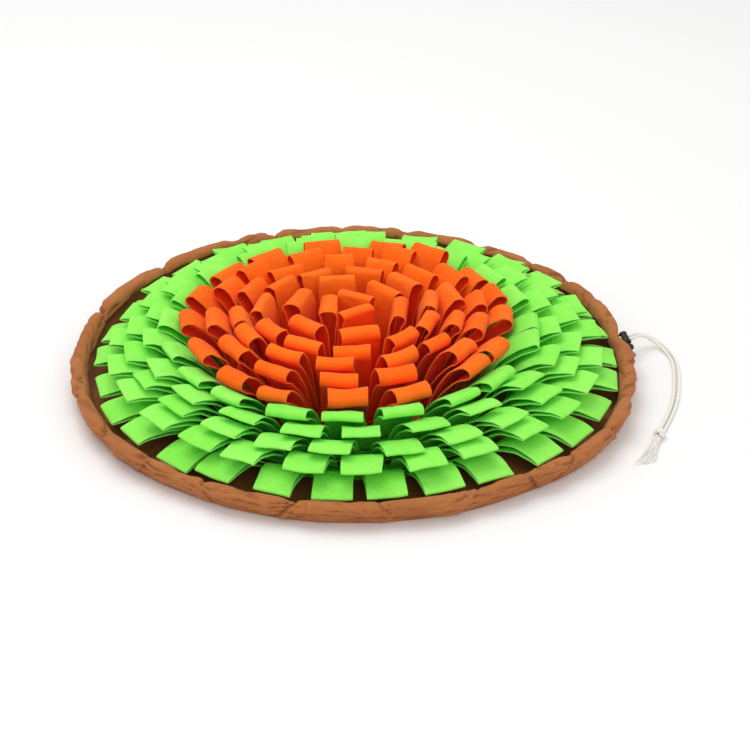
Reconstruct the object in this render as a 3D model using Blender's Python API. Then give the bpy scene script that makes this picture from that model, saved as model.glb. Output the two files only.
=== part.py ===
"""A round snuffle mat: rings of folded felt loops on a base drawn up by a cord.

The base is one round cloth. Its edge is a cord channel that stands up as a low,
puckered wall. Each ring of loops is sewn to the base by its own narrow strip, and
the rings lie over each other like petals, from a flat outer green ring to upright
orange loops in the middle. The drawcord leaves the channel at +X, passes a spring
cord lock and lies on the ground beside the mat.

The origin is on the ground under the middle of the mat. Lengths are in metres.
"""

import math
import random

import bpy
from mathutils import Matrix, Vector

GAP = 0.0003              # clear space between neighbouring pieces

# ---------------------------------------------------------------- driving sizes
CLOTH = 0.0015            # base cloth
FELT = 0.0012             # one layer of a loop's strip
STRIP_WIDTH = 0.0325      # cut width of each loop's strip

WALL_STEPS = 132          # sections round the wall

# The wall at every 30 degrees, from the far left round by the front: radius of its
# outer face half way up, and height of its crown.
WALL_ROWS = (
    # azimuth, radius, height
    (-180, 0.2460, 0.0265),
    (-150, 0.2450, 0.0245),
    (-120, 0.2388, 0.0225),
    (-90, 0.2392, 0.0215),
    (-60, 0.2420, 0.0220),
    (-30, 0.2512, 0.0240),
    (0, 0.2464, 0.0250),
    (30, 0.2475, 0.0270),
    (60, 0.2458, 0.0285),
    (90, 0.2486, 0.0300),
    (120, 0.2500, 0.0306),
    (150, 0.2490, 0.0290),
)

# One section of the wall: distance out from the radius above, and share of the height.
WALL_SECTION = (
    # name, out, up
    ("foot", -0.0070, 0.00),
    ("low outside", -0.0030, 0.24),
    ("middle outside", 0.0012, 0.56),
    ("shoulder outside", 0.0036, 0.84),
    ("crown", 0.0004, 1.00),
    ("shoulder inside", -0.0070, 0.93),
    ("middle inside", -0.0110, 0.64),
    ("low inside", -0.0124, 0.30),
)
WALL_CORE = 0.0034        # the channel's middle lies this far inside the radius
WALL_FOOT_INSIDE = -0.0150
CROWN_DROP = 0.30         # share of a pinch's tightness by which the crown sinks

# Where the gathered channel is drawn in tight: azimuth, half width in degrees, share
# by which the channel thins there, and how far the wall steps inwards.
PINCHES = (
    # azimuth, width, tight, inward
    (162, 2.2, 0.36, 0.0014),
    (138, 2.4, 0.46, 0.0020),
    (119, 2.0, 0.34, 0.0012),
    (109, 2.4, 0.42, 0.0022),
    (93, 2.2, 0.26, 0.0008),
    (78, 2.4, 0.40, 0.0022),
    (60, 2.6, 0.46, 0.0024),
    (46, 2.0, 0.30, 0.0010),
    (34, 2.2, 0.40, 0.0016),
    (25, 2.0, 0.30, 0.0010),
    (8.5, 5.0, 0.30, 0.0056),
    (-4, 2.2, 0.40, 0.0014),
    (-16, 2.4, 0.36, 0.0014),
    (-30, 2.2, 0.42, 0.0018),
    (-43, 2.0, 0.30, 0.0010),
    (-53, 2.4, 0.40, 0.0012),
    (-66, 2.0, 0.30, 0.0010),
    (-84, 2.2, 0.22, 0.0006),
    (-101, 2.6, 0.50, 0.0016),
    (-120, 2.2, 0.34, 0.0012),
    (-134, 2.0, 0.28, 0.0008),
    (-147, 2.4, 0.38, 0.0016),
    (-163, 2.2, 0.32, 0.0012),
)

# The rings of loops, from the rim inwards. "first" is the azimuth of loop 0. A strip
# leaves its seam at the angle "rise" over the ground and folds back at the tip, whose
# middle is given, where it points at the angle "lean". "eye" is how far its layers
# stand apart, and "east" moves the ring's middle.
RINGS = (
    # name, felt, fold, count, first, root radius, tip radius, tip height, rise, lean,
    # eye, east
    ("green_ring_1", "green", "flat", 30, -95.5, 0.1700, 0.2320, 0.0180, 52, -15,
     0.0056, 0.004),
    ("green_ring_2", "green", "flat", 27, -87.4, 0.1565, 0.2175, 0.0370, 58, -4,
     0.0058, 0.003),
    ("green_ring_3", "green", "flat", 24, -79.0, 0.1430, 0.2015, 0.0448, 62, 3,
     0.0060, 0.001),
    ("green_ring_4", "green", "flat", 21, -86.2, 0.1295, 0.1845, 0.0512, 64, 7,
     0.0062, -0.001),
    ("green_ring_5", "green", "open", 20, -90.5, 0.1145, 0.1660, 0.0555, 66, 12,
     0.0078, -0.003),
    ("orange_ring_1", "orange", "open", 17, -89.3, 0.0990, 0.1462, 0.0615, 68, 16,
     0.0136, -0.005),
    ("orange_ring_2", "orange", "open", 14, -93.2, 0.0830, 0.1234, 0.0665, 72, 18,
     0.0136, -0.005),
    ("orange_ring_3", "orange", "open", 13, -94.6, 0.0700, 0.1010, 0.0690, 76, 22,
     0.0134, -0.005),
    ("orange_ring_4", "orange", "open", 11, -85.4, 0.0590, 0.0780, 0.0710, 81, 30,
     0.0134, -0.005),
    ("orange_ring_5", "orange", "open", 6, -75.9, 0.0350, 0.0500, 0.0730, 84, 42,
     0.0144, -0.005),
    ("orange_ring_6", "orange", "open", 3, -60.0, 0.0125, 0.0172, 0.0745, 87, 66,
     0.0136, -0.005),
)
TIP_TO_WALL = 0.0130      # a tip stays this far inside the wall's outer radius

# Loops that stand apart from their ring: moved round it, turned about the seam, or
# moved at the tip.
STRAY_LOOPS = (
    # ring, loop, round, turn, out, up
    ("orange_ring_1", 2, 4.8, 3, 0.0, 0.0),
    ("orange_ring_1", 3, 1.7, -4, 0.002, 0.0),
    ("orange_ring_1", 4, 5.0, 2, 0.0, 0.001),
    ("orange_ring_1", 6, -4.0, -3, 0.0, 0.0),
    ("orange_ring_1", 7, -3.0, 5, -0.001, 0.005),
    ("orange_ring_1", 8, -4.0, -2, 0.0, 0.0),
    ("orange_ring_1", 13, -5.0, 4, 0.0, 0.0),
    ("orange_ring_1", 16, -4.0, 2, 0.0, -0.002),
    ("orange_ring_2", 2, 6.0, 5, 0.0, 0.0),
    ("orange_ring_2", 3, 5.0, -4, 0.0, 0.0),
    ("orange_ring_2", 6, 5.0, 4, 0.0, 0.003),
    ("orange_ring_2", 8, -4.0, 0, 0.0, 0.0),
    ("orange_ring_2", 10, -6.0, -6, 0.0, 0.0),
    ("orange_ring_3", 1, 3.8, 5, 0.0, 0.0),
    ("orange_ring_3", 2, 5.0, -6, 0.0, 0.0),
    ("orange_ring_3", 7, -5.0, 6, 0.002, 0.0),
    ("orange_ring_3", 10, 3.0, 9, 0.0, -0.002),
    ("orange_ring_4", 1, 2.0, 12, 0.0, 0.0),
    ("orange_ring_4", 3, 0.0, -13, 0.0, 0.001),
    ("orange_ring_4", 6, 2.0, 10, 0.0, -0.002),
    ("orange_ring_4", 8, 0.0, -12, 0.001, 0.0),
    ("orange_ring_5", 1, 4.0, 14, 0.0, 0.0),
    ("orange_ring_5", 3, 0.0, -12, 0.0, 0.002),
    ("green_ring_5", 4, 3.0, 8, 0.002, 0.0),
    ("green_ring_4", 3, 2.0, -7, 0.0, 0.002),
    ("green_ring_3", 11, 2.0, 8, 0.002, 0.0),
    ("green_ring_2", 16, 1.0, -6, 0.003, 0.002),
)

TURN_SPREAD = 5.0         # degrees that a loop is turned about its seam, at most
OUT_SPREAD = 0.0018       # tip moved in or out, at most
UP_SPREAD = 0.0015        # tip moved up or down, at most
EYE_SPREAD = 0.16         # share by which a loop is more open or flatter, at most

# Stations along one leg of a loop: share of the length, share of the half opening.
LOOP_STATIONS = {
    "flat": ((0.46, 0.70), (1.00, 0.84)),
    "open": ((0.34, 0.50), (0.72, 1.00), (1.00, 0.62)),
}
HOLE_START = 0.30         # the two layers part at this share of the way to the knee

BACKING_WIDTH = 0.0070
BACKING_THICK = 0.0015
ROOT_SUNK = 0.0011        # the loop's root reaches this far into its strip

# ------------------------------------------------------------ drawcord and lock
CORD_RADIUS = 0.0015
CORD_POINT_STEP = 0.0070

LOCK_CENTRE = Vector((0.2471, 0.0387, 0.0172))
LOCK_AXIS = Vector((0.35, -0.85, -0.39)).normalized()   # towards the button
CORD_LEAVES = Vector((0.93, 0.35, 0.08))                # about outwards from the wall
SLOT_FROM_LOCK = 0.0091   # the buttonhole's middle, inwards from the lock
SLOT_HALF = Vector((0.0036, 0.0048, 0.0026))            # outwards, along the rim, up
CORD_IN_SLOT = 0.0032     # how far the strands reach inwards past the slot's middle
LOCK_RADIUS = 0.0040
LOCK_LENGTH = 0.0124
LOCK_BEVEL = 0.0007
BORE_RADIUS = 0.0028
BORE_DEPTH = 0.0088
BUTTON_RADIUS = 0.0036
BUTTON_HEAD = 0.0034
BUTTON_PLAY = 0.0003      # running clearance of the stem in the bore
BUTTON_OUT = 0.0034       # free space between head and barrel
STEM_IN_BORE = 0.0050
ROUND_STEPS = 20

# The middle line between the two strands, from the lock to the knot.
CORD_ROUTE = (
    (0.2585, 0.0467, 0.0162),
    (0.2668, 0.0530, 0.0124),
    (0.2758, 0.0532, 0.0076),
    (0.2832, 0.0487, 0.0040),
    (0.2876, 0.0412, 0.0022),
    (0.2903, 0.0310, 0.0015),
    (0.2912, 0.0200, 0.0015),
    (0.2908, 0.0090, 0.0015),
    (0.2896, -0.0030, 0.0015),
    (0.2880, -0.0160, 0.0015),
    (0.2858, -0.0300, 0.0015),
    (0.2829, -0.0440, 0.0015),
    (0.2793, -0.0570, 0.0015),
    (0.2753, -0.0690, 0.0015),
    (0.2708, -0.0805, 0.0015),
    (0.2665, -0.0910, 0.0016),
)
STRAND_OFFSET = 0.00175   # each strand beside the middle line
STRAND_PARTED = 0.0004    # and a little more half way, where they part
STRAND_CLEAR = 0.0002     # more room for the cut ends beside the round barrel
STRAIGHT_START = 0.0040   # straight piece of cord at the lock
STRAIGHT_END = 0.0030     # and at the knot
NECK_SPANS = 3            # straight spans between buttonhole and lock
LOOK_AHEAD = 0.2          # spans of the route over which its direction is read

KNOT_CENTRE = Vector((0.2612, -0.1045, 0.0))
TAIL_END = Vector((0.2428, -0.1508, 0.0))
# Knot and frayed end along the cord: distance, half width, height.
KNOT_SECTIONS = (
    (-0.0056, 0.0030, 0.0030),
    (-0.0040, 0.0046, 0.0066),
    (-0.0010, 0.0052, 0.0084),
    (0.0022, 0.0048, 0.0078),
    (0.0048, 0.0034, 0.0050),
    (0.0100, 0.0030, 0.0038),
    (0.0200, 0.0036, 0.0034),
    (0.0310, 0.0050, 0.0029),
    (0.0410, 0.0072, 0.0022),
    (0.0490, 0.0084, 0.0014),
)
KNOT_SIDES = 10
FLOOR_CLEAR = 0.00002

HUES = {
    # colour, roughness
    "base_cloth": ((0.38, 0.125, 0.045, 1), 0.85),
    "green": ((0.20, 0.90, 0.10, 1), 0.90),
    "orange": ((1.00, 0.16, 0.02, 1), 0.90),
    "cord": ((0.83, 0.78, 0.66, 1), 0.90),
    "lock": ((0.012, 0.012, 0.012, 1), 0.45),
}


# -------------------------------------------------------------------- helpers
def clear_scene():
    """Remove the objects that a new file opens with."""
    for thing in list(bpy.data.objects):
        bpy.data.objects.remove(thing, do_unlink=True)


def finish(name, hue):
    """A plain material in one of the mat's colours."""
    colour, roughness = HUES[hue]
    material = bpy.data.materials.new(name + "_finish")
    material.use_nodes = True
    shader = material.node_tree.nodes["Principled BSDF"]
    shader.inputs["Base Color"].default_value = colour
    shader.inputs["Roughness"].default_value = roughness
    return material


def mesh_piece(name, points, faces, hue, smooth_angle=None):
    """A closed mesh object from its points and faces."""
    mesh = bpy.data.meshes.new(name)
    mesh.from_pydata([tuple(p) for p in points], [], faces)
    mesh.update()
    if smooth_angle is not None:
        mesh.shade_smooth()
        mesh.set_sharp_from_angle(angle=math.radians(smooth_angle))
    piece = bpy.data.objects.new(name, mesh)
    piece.data.materials.append(finish(name, hue))
    bpy.context.collection.objects.link(piece)
    return piece


def hide_tool(piece):
    """Mark a piece that only shapes another one."""
    piece.hide_render = True
    piece.display_type = "WIRE"


def combine(piece, tool, operation):
    """Cut or join a piece with a tool that is left out of the part."""
    hide_tool(tool)
    step = piece.modifiers.new(operation.title(), "BOOLEAN")
    step.operation = operation
    step.solver = "EXACT"
    step.object = tool


def between(a, b, share):
    """The value at a share of the way from a to b."""
    return a + (b - a) * share


def polar(radius, degrees, height=0.0):
    """A point at a radius and azimuth round the mat's middle."""
    angle = math.radians(degrees)
    return Vector((radius * math.cos(angle), radius * math.sin(angle), height))


def degrees_apart(a, b):
    """The difference of two azimuths, between -180 and 180."""
    return (a - b + 180.0) % 360.0 - 180.0


def through(points, share):
    """A smooth curve through points, read at a share of its spans."""
    spans = len(points) - 1
    place = min(max(share, 0.0), 1.0) * spans
    i = min(int(place), spans - 1)
    t = place - i
    p0 = points[max(i - 1, 0)]
    p1 = points[i]
    p2 = points[i + 1]
    p3 = points[min(i + 2, spans)]
    return 0.5 * (2 * p1 + (p2 - p0) * t + (2 * p0 - 5 * p1 + 4 * p2 - p3) * t ** 2
                  + (3 * p1 - p0 - 3 * p2 + p3) * t ** 3)


# ------------------------------------------------------------- base and wall
def wall_at(azimuth):
    """Radius, height, tightness and inward step of the wall at an azimuth."""
    rows = len(WALL_ROWS)
    place = ((azimuth - WALL_ROWS[0][0]) % 360.0) / (360.0 / rows)
    i = int(place)
    share = 0.5 - 0.5 * math.cos(math.pi * (place - i))
    here = WALL_ROWS[i % rows]
    ahead = WALL_ROWS[(i + 1) % rows]
    radius = between(here[1], ahead[1], share)
    height = between(here[2], ahead[2], share)
    tight = 0.0
    inward = 0.0
    for centre, width, thin, step in PINCHES:
        near = math.exp(-(degrees_apart(azimuth, centre) / width) ** 2)
        tight = max(tight, thin * near)
        inward = inward + step * near
    return radius, height, tight, inward


def wall_section(azimuth):
    """The points of the wall's section, from the foot over the crown to the inside."""
    radius, height, tight, inward = wall_at(azimuth)
    points = []
    for name, out, up in WALL_SECTION:
        rise = math.sin(math.pi / 2 * up)
        thinned = -WALL_CORE + (out + WALL_CORE) * (1.0 - tight * rise)
        crown_drop = 1.0 - CROWN_DROP * tight * up
        points.append(polar(radius - inward * rise + thinned, azimuth,
                            height * up * crown_drop))
    points.append(polar(radius + WALL_FOOT_INSIDE, azimuth, CLOTH))
    return points


def wall_middle():
    """The middle of the box round the wall, where the mat's origin goes."""
    points = []
    for step in range(WALL_STEPS):
        points += wall_section(360.0 * step / WALL_STEPS)
    across = [point.x for point in points]
    deep = [point.y for point in points]
    return Vector((min(across) + max(across), min(deep) + max(deep), 0.0)) / 2


def build_base():
    """The round base cloth with its channel edge standing up, in one piece."""
    rows = len(WALL_SECTION) + 1
    points = []
    faces = []
    for step in range(WALL_STEPS):
        points += wall_section(360.0 * step / WALL_STEPS)
    under = len(points)
    points.append(Vector((0, 0, 0)))
    over = len(points)
    points.append(Vector((0, 0, CLOTH)))
    for step in range(WALL_STEPS):
        here = step * rows
        ahead = ((step + 1) % WALL_STEPS) * rows
        for row in range(rows - 1):
            faces.append((here + row, ahead + row, ahead + row + 1, here + row + 1))
        faces.append((under, ahead, here))
        faces.append((over, here + rows - 1, ahead + rows - 1))
    base = mesh_piece("base_cloth", points, faces, "base_cloth", 50)
    combine(base, buttonhole_cutter(), "DIFFERENCE")
    return base


# ------------------------------------------------------------------ felt rings
def bend_point(reach, tip_rise, rise, lean):
    """Where the loop's two end directions meet: the corner that its curve rounds."""
    steep = math.tan(math.radians(rise))
    flat = math.tan(math.radians(lean))
    out = (tip_rise - reach * flat) / (steep - flat)
    return Vector((out, out * steep))


def curve_point(bend, tip, share):
    """Point, upward normal and direction of a loop's middle line."""
    place = 2 * share * (1 - share) * bend + share ** 2 * tip
    along = (2 * (1 - share) * bend + 2 * share * (tip - bend)).normalized()
    return place, Vector((-along.y, along.x)), along


def loop_outline(fold, bend, tip, eye):
    """Outer and inner outlines of one loop seen from the side, as (out, up)."""
    half = eye / 2
    foot = FELT * bend.length / bend.y
    outer_top = [Vector((-foot, 0.0))]
    outer_low = [Vector((foot, 0.0))]
    inner_top = []
    inner_low = []
    for share, open_share in LOOP_STATIONS[fold]:
        place, normal, along = curve_point(bend, tip, share)
        spread = half * open_share
        outer_top.append(place + normal * spread)
        outer_low.append(place - normal * spread)
        back = along * (FELT if share == 1.0 else 0.0)
        leg = spread - FELT
        inner_top.append(place - back + normal * leg)
        inner_low.append(place - back - normal * leg)
    knee = curve_point(bend, tip, LOOP_STATIONS[fold][0][0])[0]
    outer = outer_top + outer_low[::-1]
    inner = [knee * HOLE_START] + inner_top + inner_low[::-1]
    return outer, inner


def add_loop(points, faces, outline, place):
    """Add one loop as a closed band to the lists of a ring's points and faces."""
    outer, inner = outline
    count_out = len(outer)
    count_in = len(inner)
    first = len(points)
    side = count_out + count_in
    for across in (-STRIP_WIDTH / 2, STRIP_WIDTH / 2):
        for flat in outer + inner:
            points.append(place @ Vector((flat.x, across, flat.y)))
    for i in range(count_out):
        j = (i + 1) % count_out
        faces.append((first + i, first + j, first + side + j, first + side + i))
    hole = first + count_out
    for i in range(count_in):
        j = (i + 1) % count_in
        faces.append((hole + j, hole + i, hole + side + i, hole + side + j))
    # The end faces run round the hole: its point 0 faces the root, and point k of
    # the hole faces point k of the outer outline.
    for shift, flip in ((0, False), (side, True)):
        ends = [(first + count_out - 1, first, hole),
                (first, first + 1, hole + 1, hole),
                (first + count_out - 2, first + count_out - 1, hole, hole + count_in - 1)]
        for i in range(1, count_in - 1):
            ends.append((first + i, first + i + 1, hole + i + 1, hole + i))
        for face in ends:
            shifted = tuple(v + shift for v in face)
            faces.append(shifted if flip else shifted[::-1])


def backing_strip(name, felt, count, first, radius, middle):
    """The narrow strip under a ring, with one straight side for each loop."""
    low = CLOTH + GAP
    high = low + BACKING_THICK
    half_turn = 180.0 / count
    widen = 1.0 / math.cos(math.radians(half_turn))
    points = []
    faces = []
    for i in range(count):
        azimuth = first + 360.0 * i / count - half_turn
        for side in (-1, 1):
            edge = (radius + side * BACKING_WIDTH / 2) * widen
            points.append(middle + polar(edge, azimuth, low))
            points.append(middle + polar(edge, azimuth, high))
    for i in range(count):
        a = 4 * i
        b = 4 * ((i + 1) % count)
        faces.append((a, a + 1, b + 1, b))
        faces.append((a + 2, b + 2, b + 3, a + 3))
        faces.append((a + 1, a + 3, b + 3, b + 1))
        faces.append((a, b, b + 2, a + 2))
    return mesh_piece(name, points, faces, felt)


def stray(ring, loop):
    """How a loop that stands apart from its ring differs: round, turn, out and up."""
    for name, number, *change in STRAY_LOOPS:
        if name == ring and number == loop:
            return change
    return 0.0, 0.0, 0.0, 0.0


def reach_inside_wall(root, azimuth, reach):
    """How far out a loop's tip may be before it would press on the wall."""
    flat_root = Vector((root.x, root.y))
    away = Vector((math.cos(math.radians(azimuth)), math.sin(math.radians(azimuth))))
    tip = flat_root + away * reach
    radius, height, tight, inward = wall_at(math.degrees(math.atan2(tip.y, tip.x)))
    return reach - max(0.0, tip.length - (radius - inward - TIP_TO_WALL))


def build_ring(row, seed):
    """One backing strip with its ring of loops joined to it.

    Neighbouring loops may touch at their roots, so they are joined in sets.
    """
    name, felt, fold, count, first, root, tip, tip_height, rise, lean, eye, east = row
    middle = Vector((east, 0.0, 0.0))
    strip = backing_strip(name, felt, count, first, root, middle)
    seam_height = CLOTH + GAP + BACKING_THICK - ROOT_SUNK
    draw = random.Random(seed)
    sets = {"even": ([], []), "odd": ([], []), "last": ([], [])}
    for i in range(count):
        around, turn, out, up = stray(name, i)
        turn += draw.uniform(-TURN_SPREAD, TURN_SPREAD)
        azimuth = first + 360.0 * i / count + around
        seat = middle + polar(root, azimuth, seam_height)
        reach = tip - root + out + draw.uniform(-OUT_SPREAD, OUT_SPREAD)
        reach = reach_inside_wall(seat, azimuth + turn, reach)
        up += tip_height - seam_height + draw.uniform(-UP_SPREAD, UP_SPREAD)
        opening = eye * (1.0 + draw.uniform(-EYE_SPREAD, EYE_SPREAD))
        bend = bend_point(reach, up, rise, lean)
        outline = loop_outline(fold, bend, Vector((reach, up)), opening)
        place = (Matrix.Translation(seat)
                 @ Matrix.Rotation(math.radians(azimuth + turn), 4, "Z"))
        closes_odd_ring = i == count - 1 and count % 2 == 1
        which = "last" if closes_odd_ring else ("even", "odd")[i % 2]
        add_loop(*sets[which], outline, place)
    for which, (points, faces) in sets.items():
        if points:
            loops = mesh_piece(name + "_" + which + "_loops", points, faces, felt)
            combine(strip, loops, "UNION")
    return strip


# ----------------------------------------------------------- drawcord and lock
def across_lock():
    """The direction in which the cord leaves the lock, square to its axis."""
    across = CORD_LEAVES - LOCK_AXIS * CORD_LEAVES.dot(LOCK_AXIS)
    return across.normalized()


def buttonhole_cutter():
    """The short slot in the channel's outer face where the cord comes out."""
    out = across_lock()
    up = out.cross(LOCK_AXIS)
    frame = Matrix((out, LOCK_AXIS, up)).transposed().to_4x4()
    frame.translation = LOCK_CENTRE - out * SLOT_FROM_LOCK
    corners = [frame @ Vector((x * SLOT_HALF.x, y * SLOT_HALF.y, z * SLOT_HALF.z))
               for x in (-1, 1) for y in (-1, 1) for z in (-1, 1)]
    faces = [(0, 1, 3, 2), (4, 6, 7, 5), (0, 4, 5, 1), (2, 3, 7, 6), (0, 2, 6, 4),
             (1, 5, 7, 3)]
    return mesh_piece("buttonhole_cutter", corners, faces, "base_cloth")


def turned(name, profile, centre, axis, hue):
    """A round piece on its own origin: profile rows of radius and distance along."""
    turn = Vector((0, 0, 1)).rotation_difference(axis).to_matrix()
    points = []
    faces = []
    rows = len(profile)
    for step in range(ROUND_STEPS):
        angle = 2 * math.pi * step / ROUND_STEPS
        for radius, along in profile:
            local = Vector((radius * math.cos(angle), radius * math.sin(angle), along))
            points.append(turn @ local)
    low = len(points)
    points.append(axis * profile[0][1])
    high = len(points)
    points.append(axis * profile[-1][1])
    for step in range(ROUND_STEPS):
        here = step * rows
        ahead = ((step + 1) % ROUND_STEPS) * rows
        for row in range(rows - 1):
            faces.append((here + row, ahead + row, ahead + row + 1, here + row + 1))
        faces.append((low, ahead, here))
        faces.append((high, here + rows - 1, ahead + rows - 1))
    piece = mesh_piece(name, points, faces, hue, 40)
    piece.location = centre
    return piece


def build_lock():
    """The lock's barrel with its blind bore, and the button that slides in it."""
    half = LOCK_LENGTH / 2
    barrel = (
        (LOCK_RADIUS - LOCK_BEVEL, -half),
        (LOCK_RADIUS, -half + LOCK_BEVEL),
        (LOCK_RADIUS, half - LOCK_BEVEL),
        (LOCK_RADIUS - LOCK_BEVEL, half),
        (BORE_RADIUS, half),
        (BORE_RADIUS, half - BORE_DEPTH),
    )
    turned("cord_lock", barrel, LOCK_CENTRE, LOCK_AXIS, "lock")
    head = half + BUTTON_OUT
    stem = BORE_RADIUS - BUTTON_PLAY
    button = (
        (stem, half - STEM_IN_BORE),
        (stem, head),
        (BUTTON_RADIUS, head),
        (BUTTON_RADIUS, head + BUTTON_HEAD - LOCK_BEVEL),
        (BUTTON_RADIUS - LOCK_BEVEL, head + BUTTON_HEAD),
    )
    turned("cord_lock_button", button, LOCK_CENTRE, LOCK_AXIS, "lock")


def tube(name, points):
    """A cord's tube through its points, with flat ends."""
    curve = bpy.data.curves.new(name, "CURVE")
    curve.dimensions = "3D"
    curve.bevel_depth = CORD_RADIUS
    curve.bevel_resolution = 2
    curve.use_fill_caps = True
    spline = curve.splines.new("POLY")
    spline.points.add(len(points) - 1)
    for slot, point in zip(spline.points, points):
        slot.co = (*point, 1.0)
    curve.materials.append(finish(name, "cord"))
    piece = bpy.data.objects.new(name, curve)
    bpy.context.collection.objects.link(piece)
    return piece


def strand_points(side):
    """Points of one strand: beside the pair's middle line, parted half way."""
    leave = across_lock()
    start = LOCK_CENTRE + leave * (LOCK_RADIUS + GAP + STRAND_CLEAR)
    knot_line = (TAIL_END - KNOT_CENTRE).normalized()
    meet = KNOT_CENTRE + knot_line * (KNOT_SECTIONS[0][0] - GAP)
    meet.z = CORD_RADIUS + FLOOR_CLEAR
    middle = [start, start + leave * STRAIGHT_START]
    middle += [Vector(point) for point in CORD_ROUTE]
    middle += [meet - knot_line * STRAIGHT_END, meet]
    spans = len(middle) - 1
    length = sum((b - a).length for a, b in zip(middle, middle[1:]))
    count = round(length / CORD_POINT_STEP)
    points = []
    for step in range(count + 1):
        share = step / count
        place = through(middle, share)
        ahead = through(middle, share + LOOK_AHEAD / spans)
        behind = through(middle, share - LOOK_AHEAD / spans)
        run = ahead - behind
        beside = Vector((-run.y, run.x, 0)).normalized()
        offset = STRAND_OFFSET + STRAND_PARTED * math.sin(math.pi * share) ** 2
        place = place + beside * side * offset
        place.z = max(place.z, CORD_RADIUS + FLOOR_CLEAR)
        points.append(place)
    points.insert(1, points[0] + leave * CORD_RADIUS)
    return points


def neck_points(side):
    """Points of one strand between the buttonhole and the lock."""
    leave = across_lock()
    beside = Vector((-leave.y, leave.x, 0)).normalized()
    inner = LOCK_CENTRE - leave * (SLOT_FROM_LOCK + CORD_IN_SLOT)
    outer = LOCK_CENTRE - leave * (LOCK_RADIUS + GAP)
    return [inner.lerp(outer, step / NECK_SPANS) + beside * side * STRAND_OFFSET
            for step in range(NECK_SPANS + 1)]


def build_knot():
    """The knot that joins the strands, and the cord's frayed end beyond it."""
    along = (TAIL_END - KNOT_CENTRE).normalized()
    beside = Vector((-along.y, along.x, 0))
    points = []
    faces = []
    for distance, half_width, height in KNOT_SECTIONS:
        for side in range(KNOT_SIDES):
            angle = 2 * math.pi * side / KNOT_SIDES
            lift = height * (0.5 - 0.5 * math.cos(angle)) + FLOOR_CLEAR
            point = KNOT_CENTRE + along * distance + beside * half_width * math.sin(angle)
            points.append(Vector((point.x, point.y, lift)))
    last = (len(KNOT_SECTIONS) - 1) * KNOT_SIDES
    for row in range(len(KNOT_SECTIONS) - 1):
        for side in range(KNOT_SIDES):
            a = row * KNOT_SIDES + side
            b = row * KNOT_SIDES + (side + 1) % KNOT_SIDES
            faces.append((a, b, b + KNOT_SIDES, a + KNOT_SIDES))
    faces.append(tuple(range(KNOT_SIDES))[::-1])
    faces.append(tuple(range(last, last + KNOT_SIDES)))
    return mesh_piece("cord_knot", points, faces, "cord", 60)


def build():
    clear_scene()
    build_base()
    for seed, row in enumerate(RINGS):
        build_ring(row, seed)
    build_lock()
    for name, side in (("drawcord_left", 1), ("drawcord_right", -1)):
        tube(name, strand_points(side))
        tube(name.replace("drawcord", "cord_neck"), neck_points(side))
    build_knot()
    middle = wall_middle()
    for piece in bpy.data.objects:
        piece.location -= middle


build()
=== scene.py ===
# %% [markdown]
# # A snuffle mat of folded felt loops
#
# The mat is a round brown cloth with its edge turned into a channel and drawn up by a
# cord. Rings of folded felt strips are sewn to it, green outside and orange inside.
# Dry treats are hidden between the loops.
#
# The packed model gives each piece its place. This lesson puts cloth, felt, cord and
# light on it, one piece at a time. Every length is in metres.

# %% Load the frame
import math
import random

import bpy
import numpy as np
from mathutils import Matrix, Vector


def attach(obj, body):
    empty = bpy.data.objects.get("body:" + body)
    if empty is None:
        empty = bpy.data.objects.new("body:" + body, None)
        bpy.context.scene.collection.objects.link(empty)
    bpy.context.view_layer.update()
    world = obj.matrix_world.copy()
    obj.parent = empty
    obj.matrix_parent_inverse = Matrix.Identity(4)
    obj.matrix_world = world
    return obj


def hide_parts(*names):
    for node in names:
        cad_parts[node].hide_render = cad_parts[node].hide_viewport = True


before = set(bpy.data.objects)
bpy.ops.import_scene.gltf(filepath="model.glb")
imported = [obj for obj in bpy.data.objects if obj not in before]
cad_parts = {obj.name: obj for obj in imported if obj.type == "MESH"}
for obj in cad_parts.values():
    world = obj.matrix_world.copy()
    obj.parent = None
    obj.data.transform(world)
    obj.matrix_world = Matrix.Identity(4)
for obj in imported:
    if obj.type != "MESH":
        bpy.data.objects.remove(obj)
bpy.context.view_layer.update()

# %% [markdown]
# ## The camera
#
# The photograph looks down on the mat from in front, thirty degrees above the floor.
# A long lens from about 1.7 metres away keeps the far rim nearly as wide as the near
# one, as the picture shows. A camera could be aimed with a constraint, but two numbers,
# its place and its tilt, are enough. The tables below were measured from the middle of
# the wall's own circle, which lies a little away from the origin, so every place is
# moved by the same small step.

# %% Place the camera
WALL_CENTRE = Vector((0.0000321, -0.0045280, 0.0))
CAMERA_FROM_WALL = Vector((0.01974, -1.47179, 0.85078))
CAMERA_TILT = 60
LENS_MM = 90.96
FILM_MM = 36.0

scene = bpy.context.scene
lens = bpy.data.cameras.new("photo_camera")
lens.lens = LENS_MM
lens.sensor_width = FILM_MM
camera = bpy.data.objects.new("photo_camera", lens)
camera.location = WALL_CENTRE + CAMERA_FROM_WALL
camera.rotation_euler = (math.radians(CAMERA_TILT), 0, 0)
scene.collection.objects.link(camera)
scene.camera = camera
print("camera", [round(value, 3) for value in camera.location])

# %% [markdown]
# ## Meshes from grids
#
# Cloth, felt and cord are all grids: rows of points that run along the piece and round
# or across it. They could be modelled by hand, but a few helpers that turn a grid into
# a mesh, and close it where it ends, serve every piece here. Working on whole arrays
# at once keeps the script quick.


# %% Build meshes from grids
def new_piece(name, points, faces, material, smooth=True):
    """A mesh object from points and faces."""
    mesh = bpy.data.meshes.new(name)
    mesh.from_pydata(np.asarray(points, float).tolist(), [], faces)
    mesh.polygons.foreach_set("use_smooth", [smooth] * len(mesh.polygons))
    mesh.materials.append(material)
    mesh.update()
    piece = bpy.data.objects.new(name, mesh)
    scene.collection.objects.link(piece)
    return piece


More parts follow.
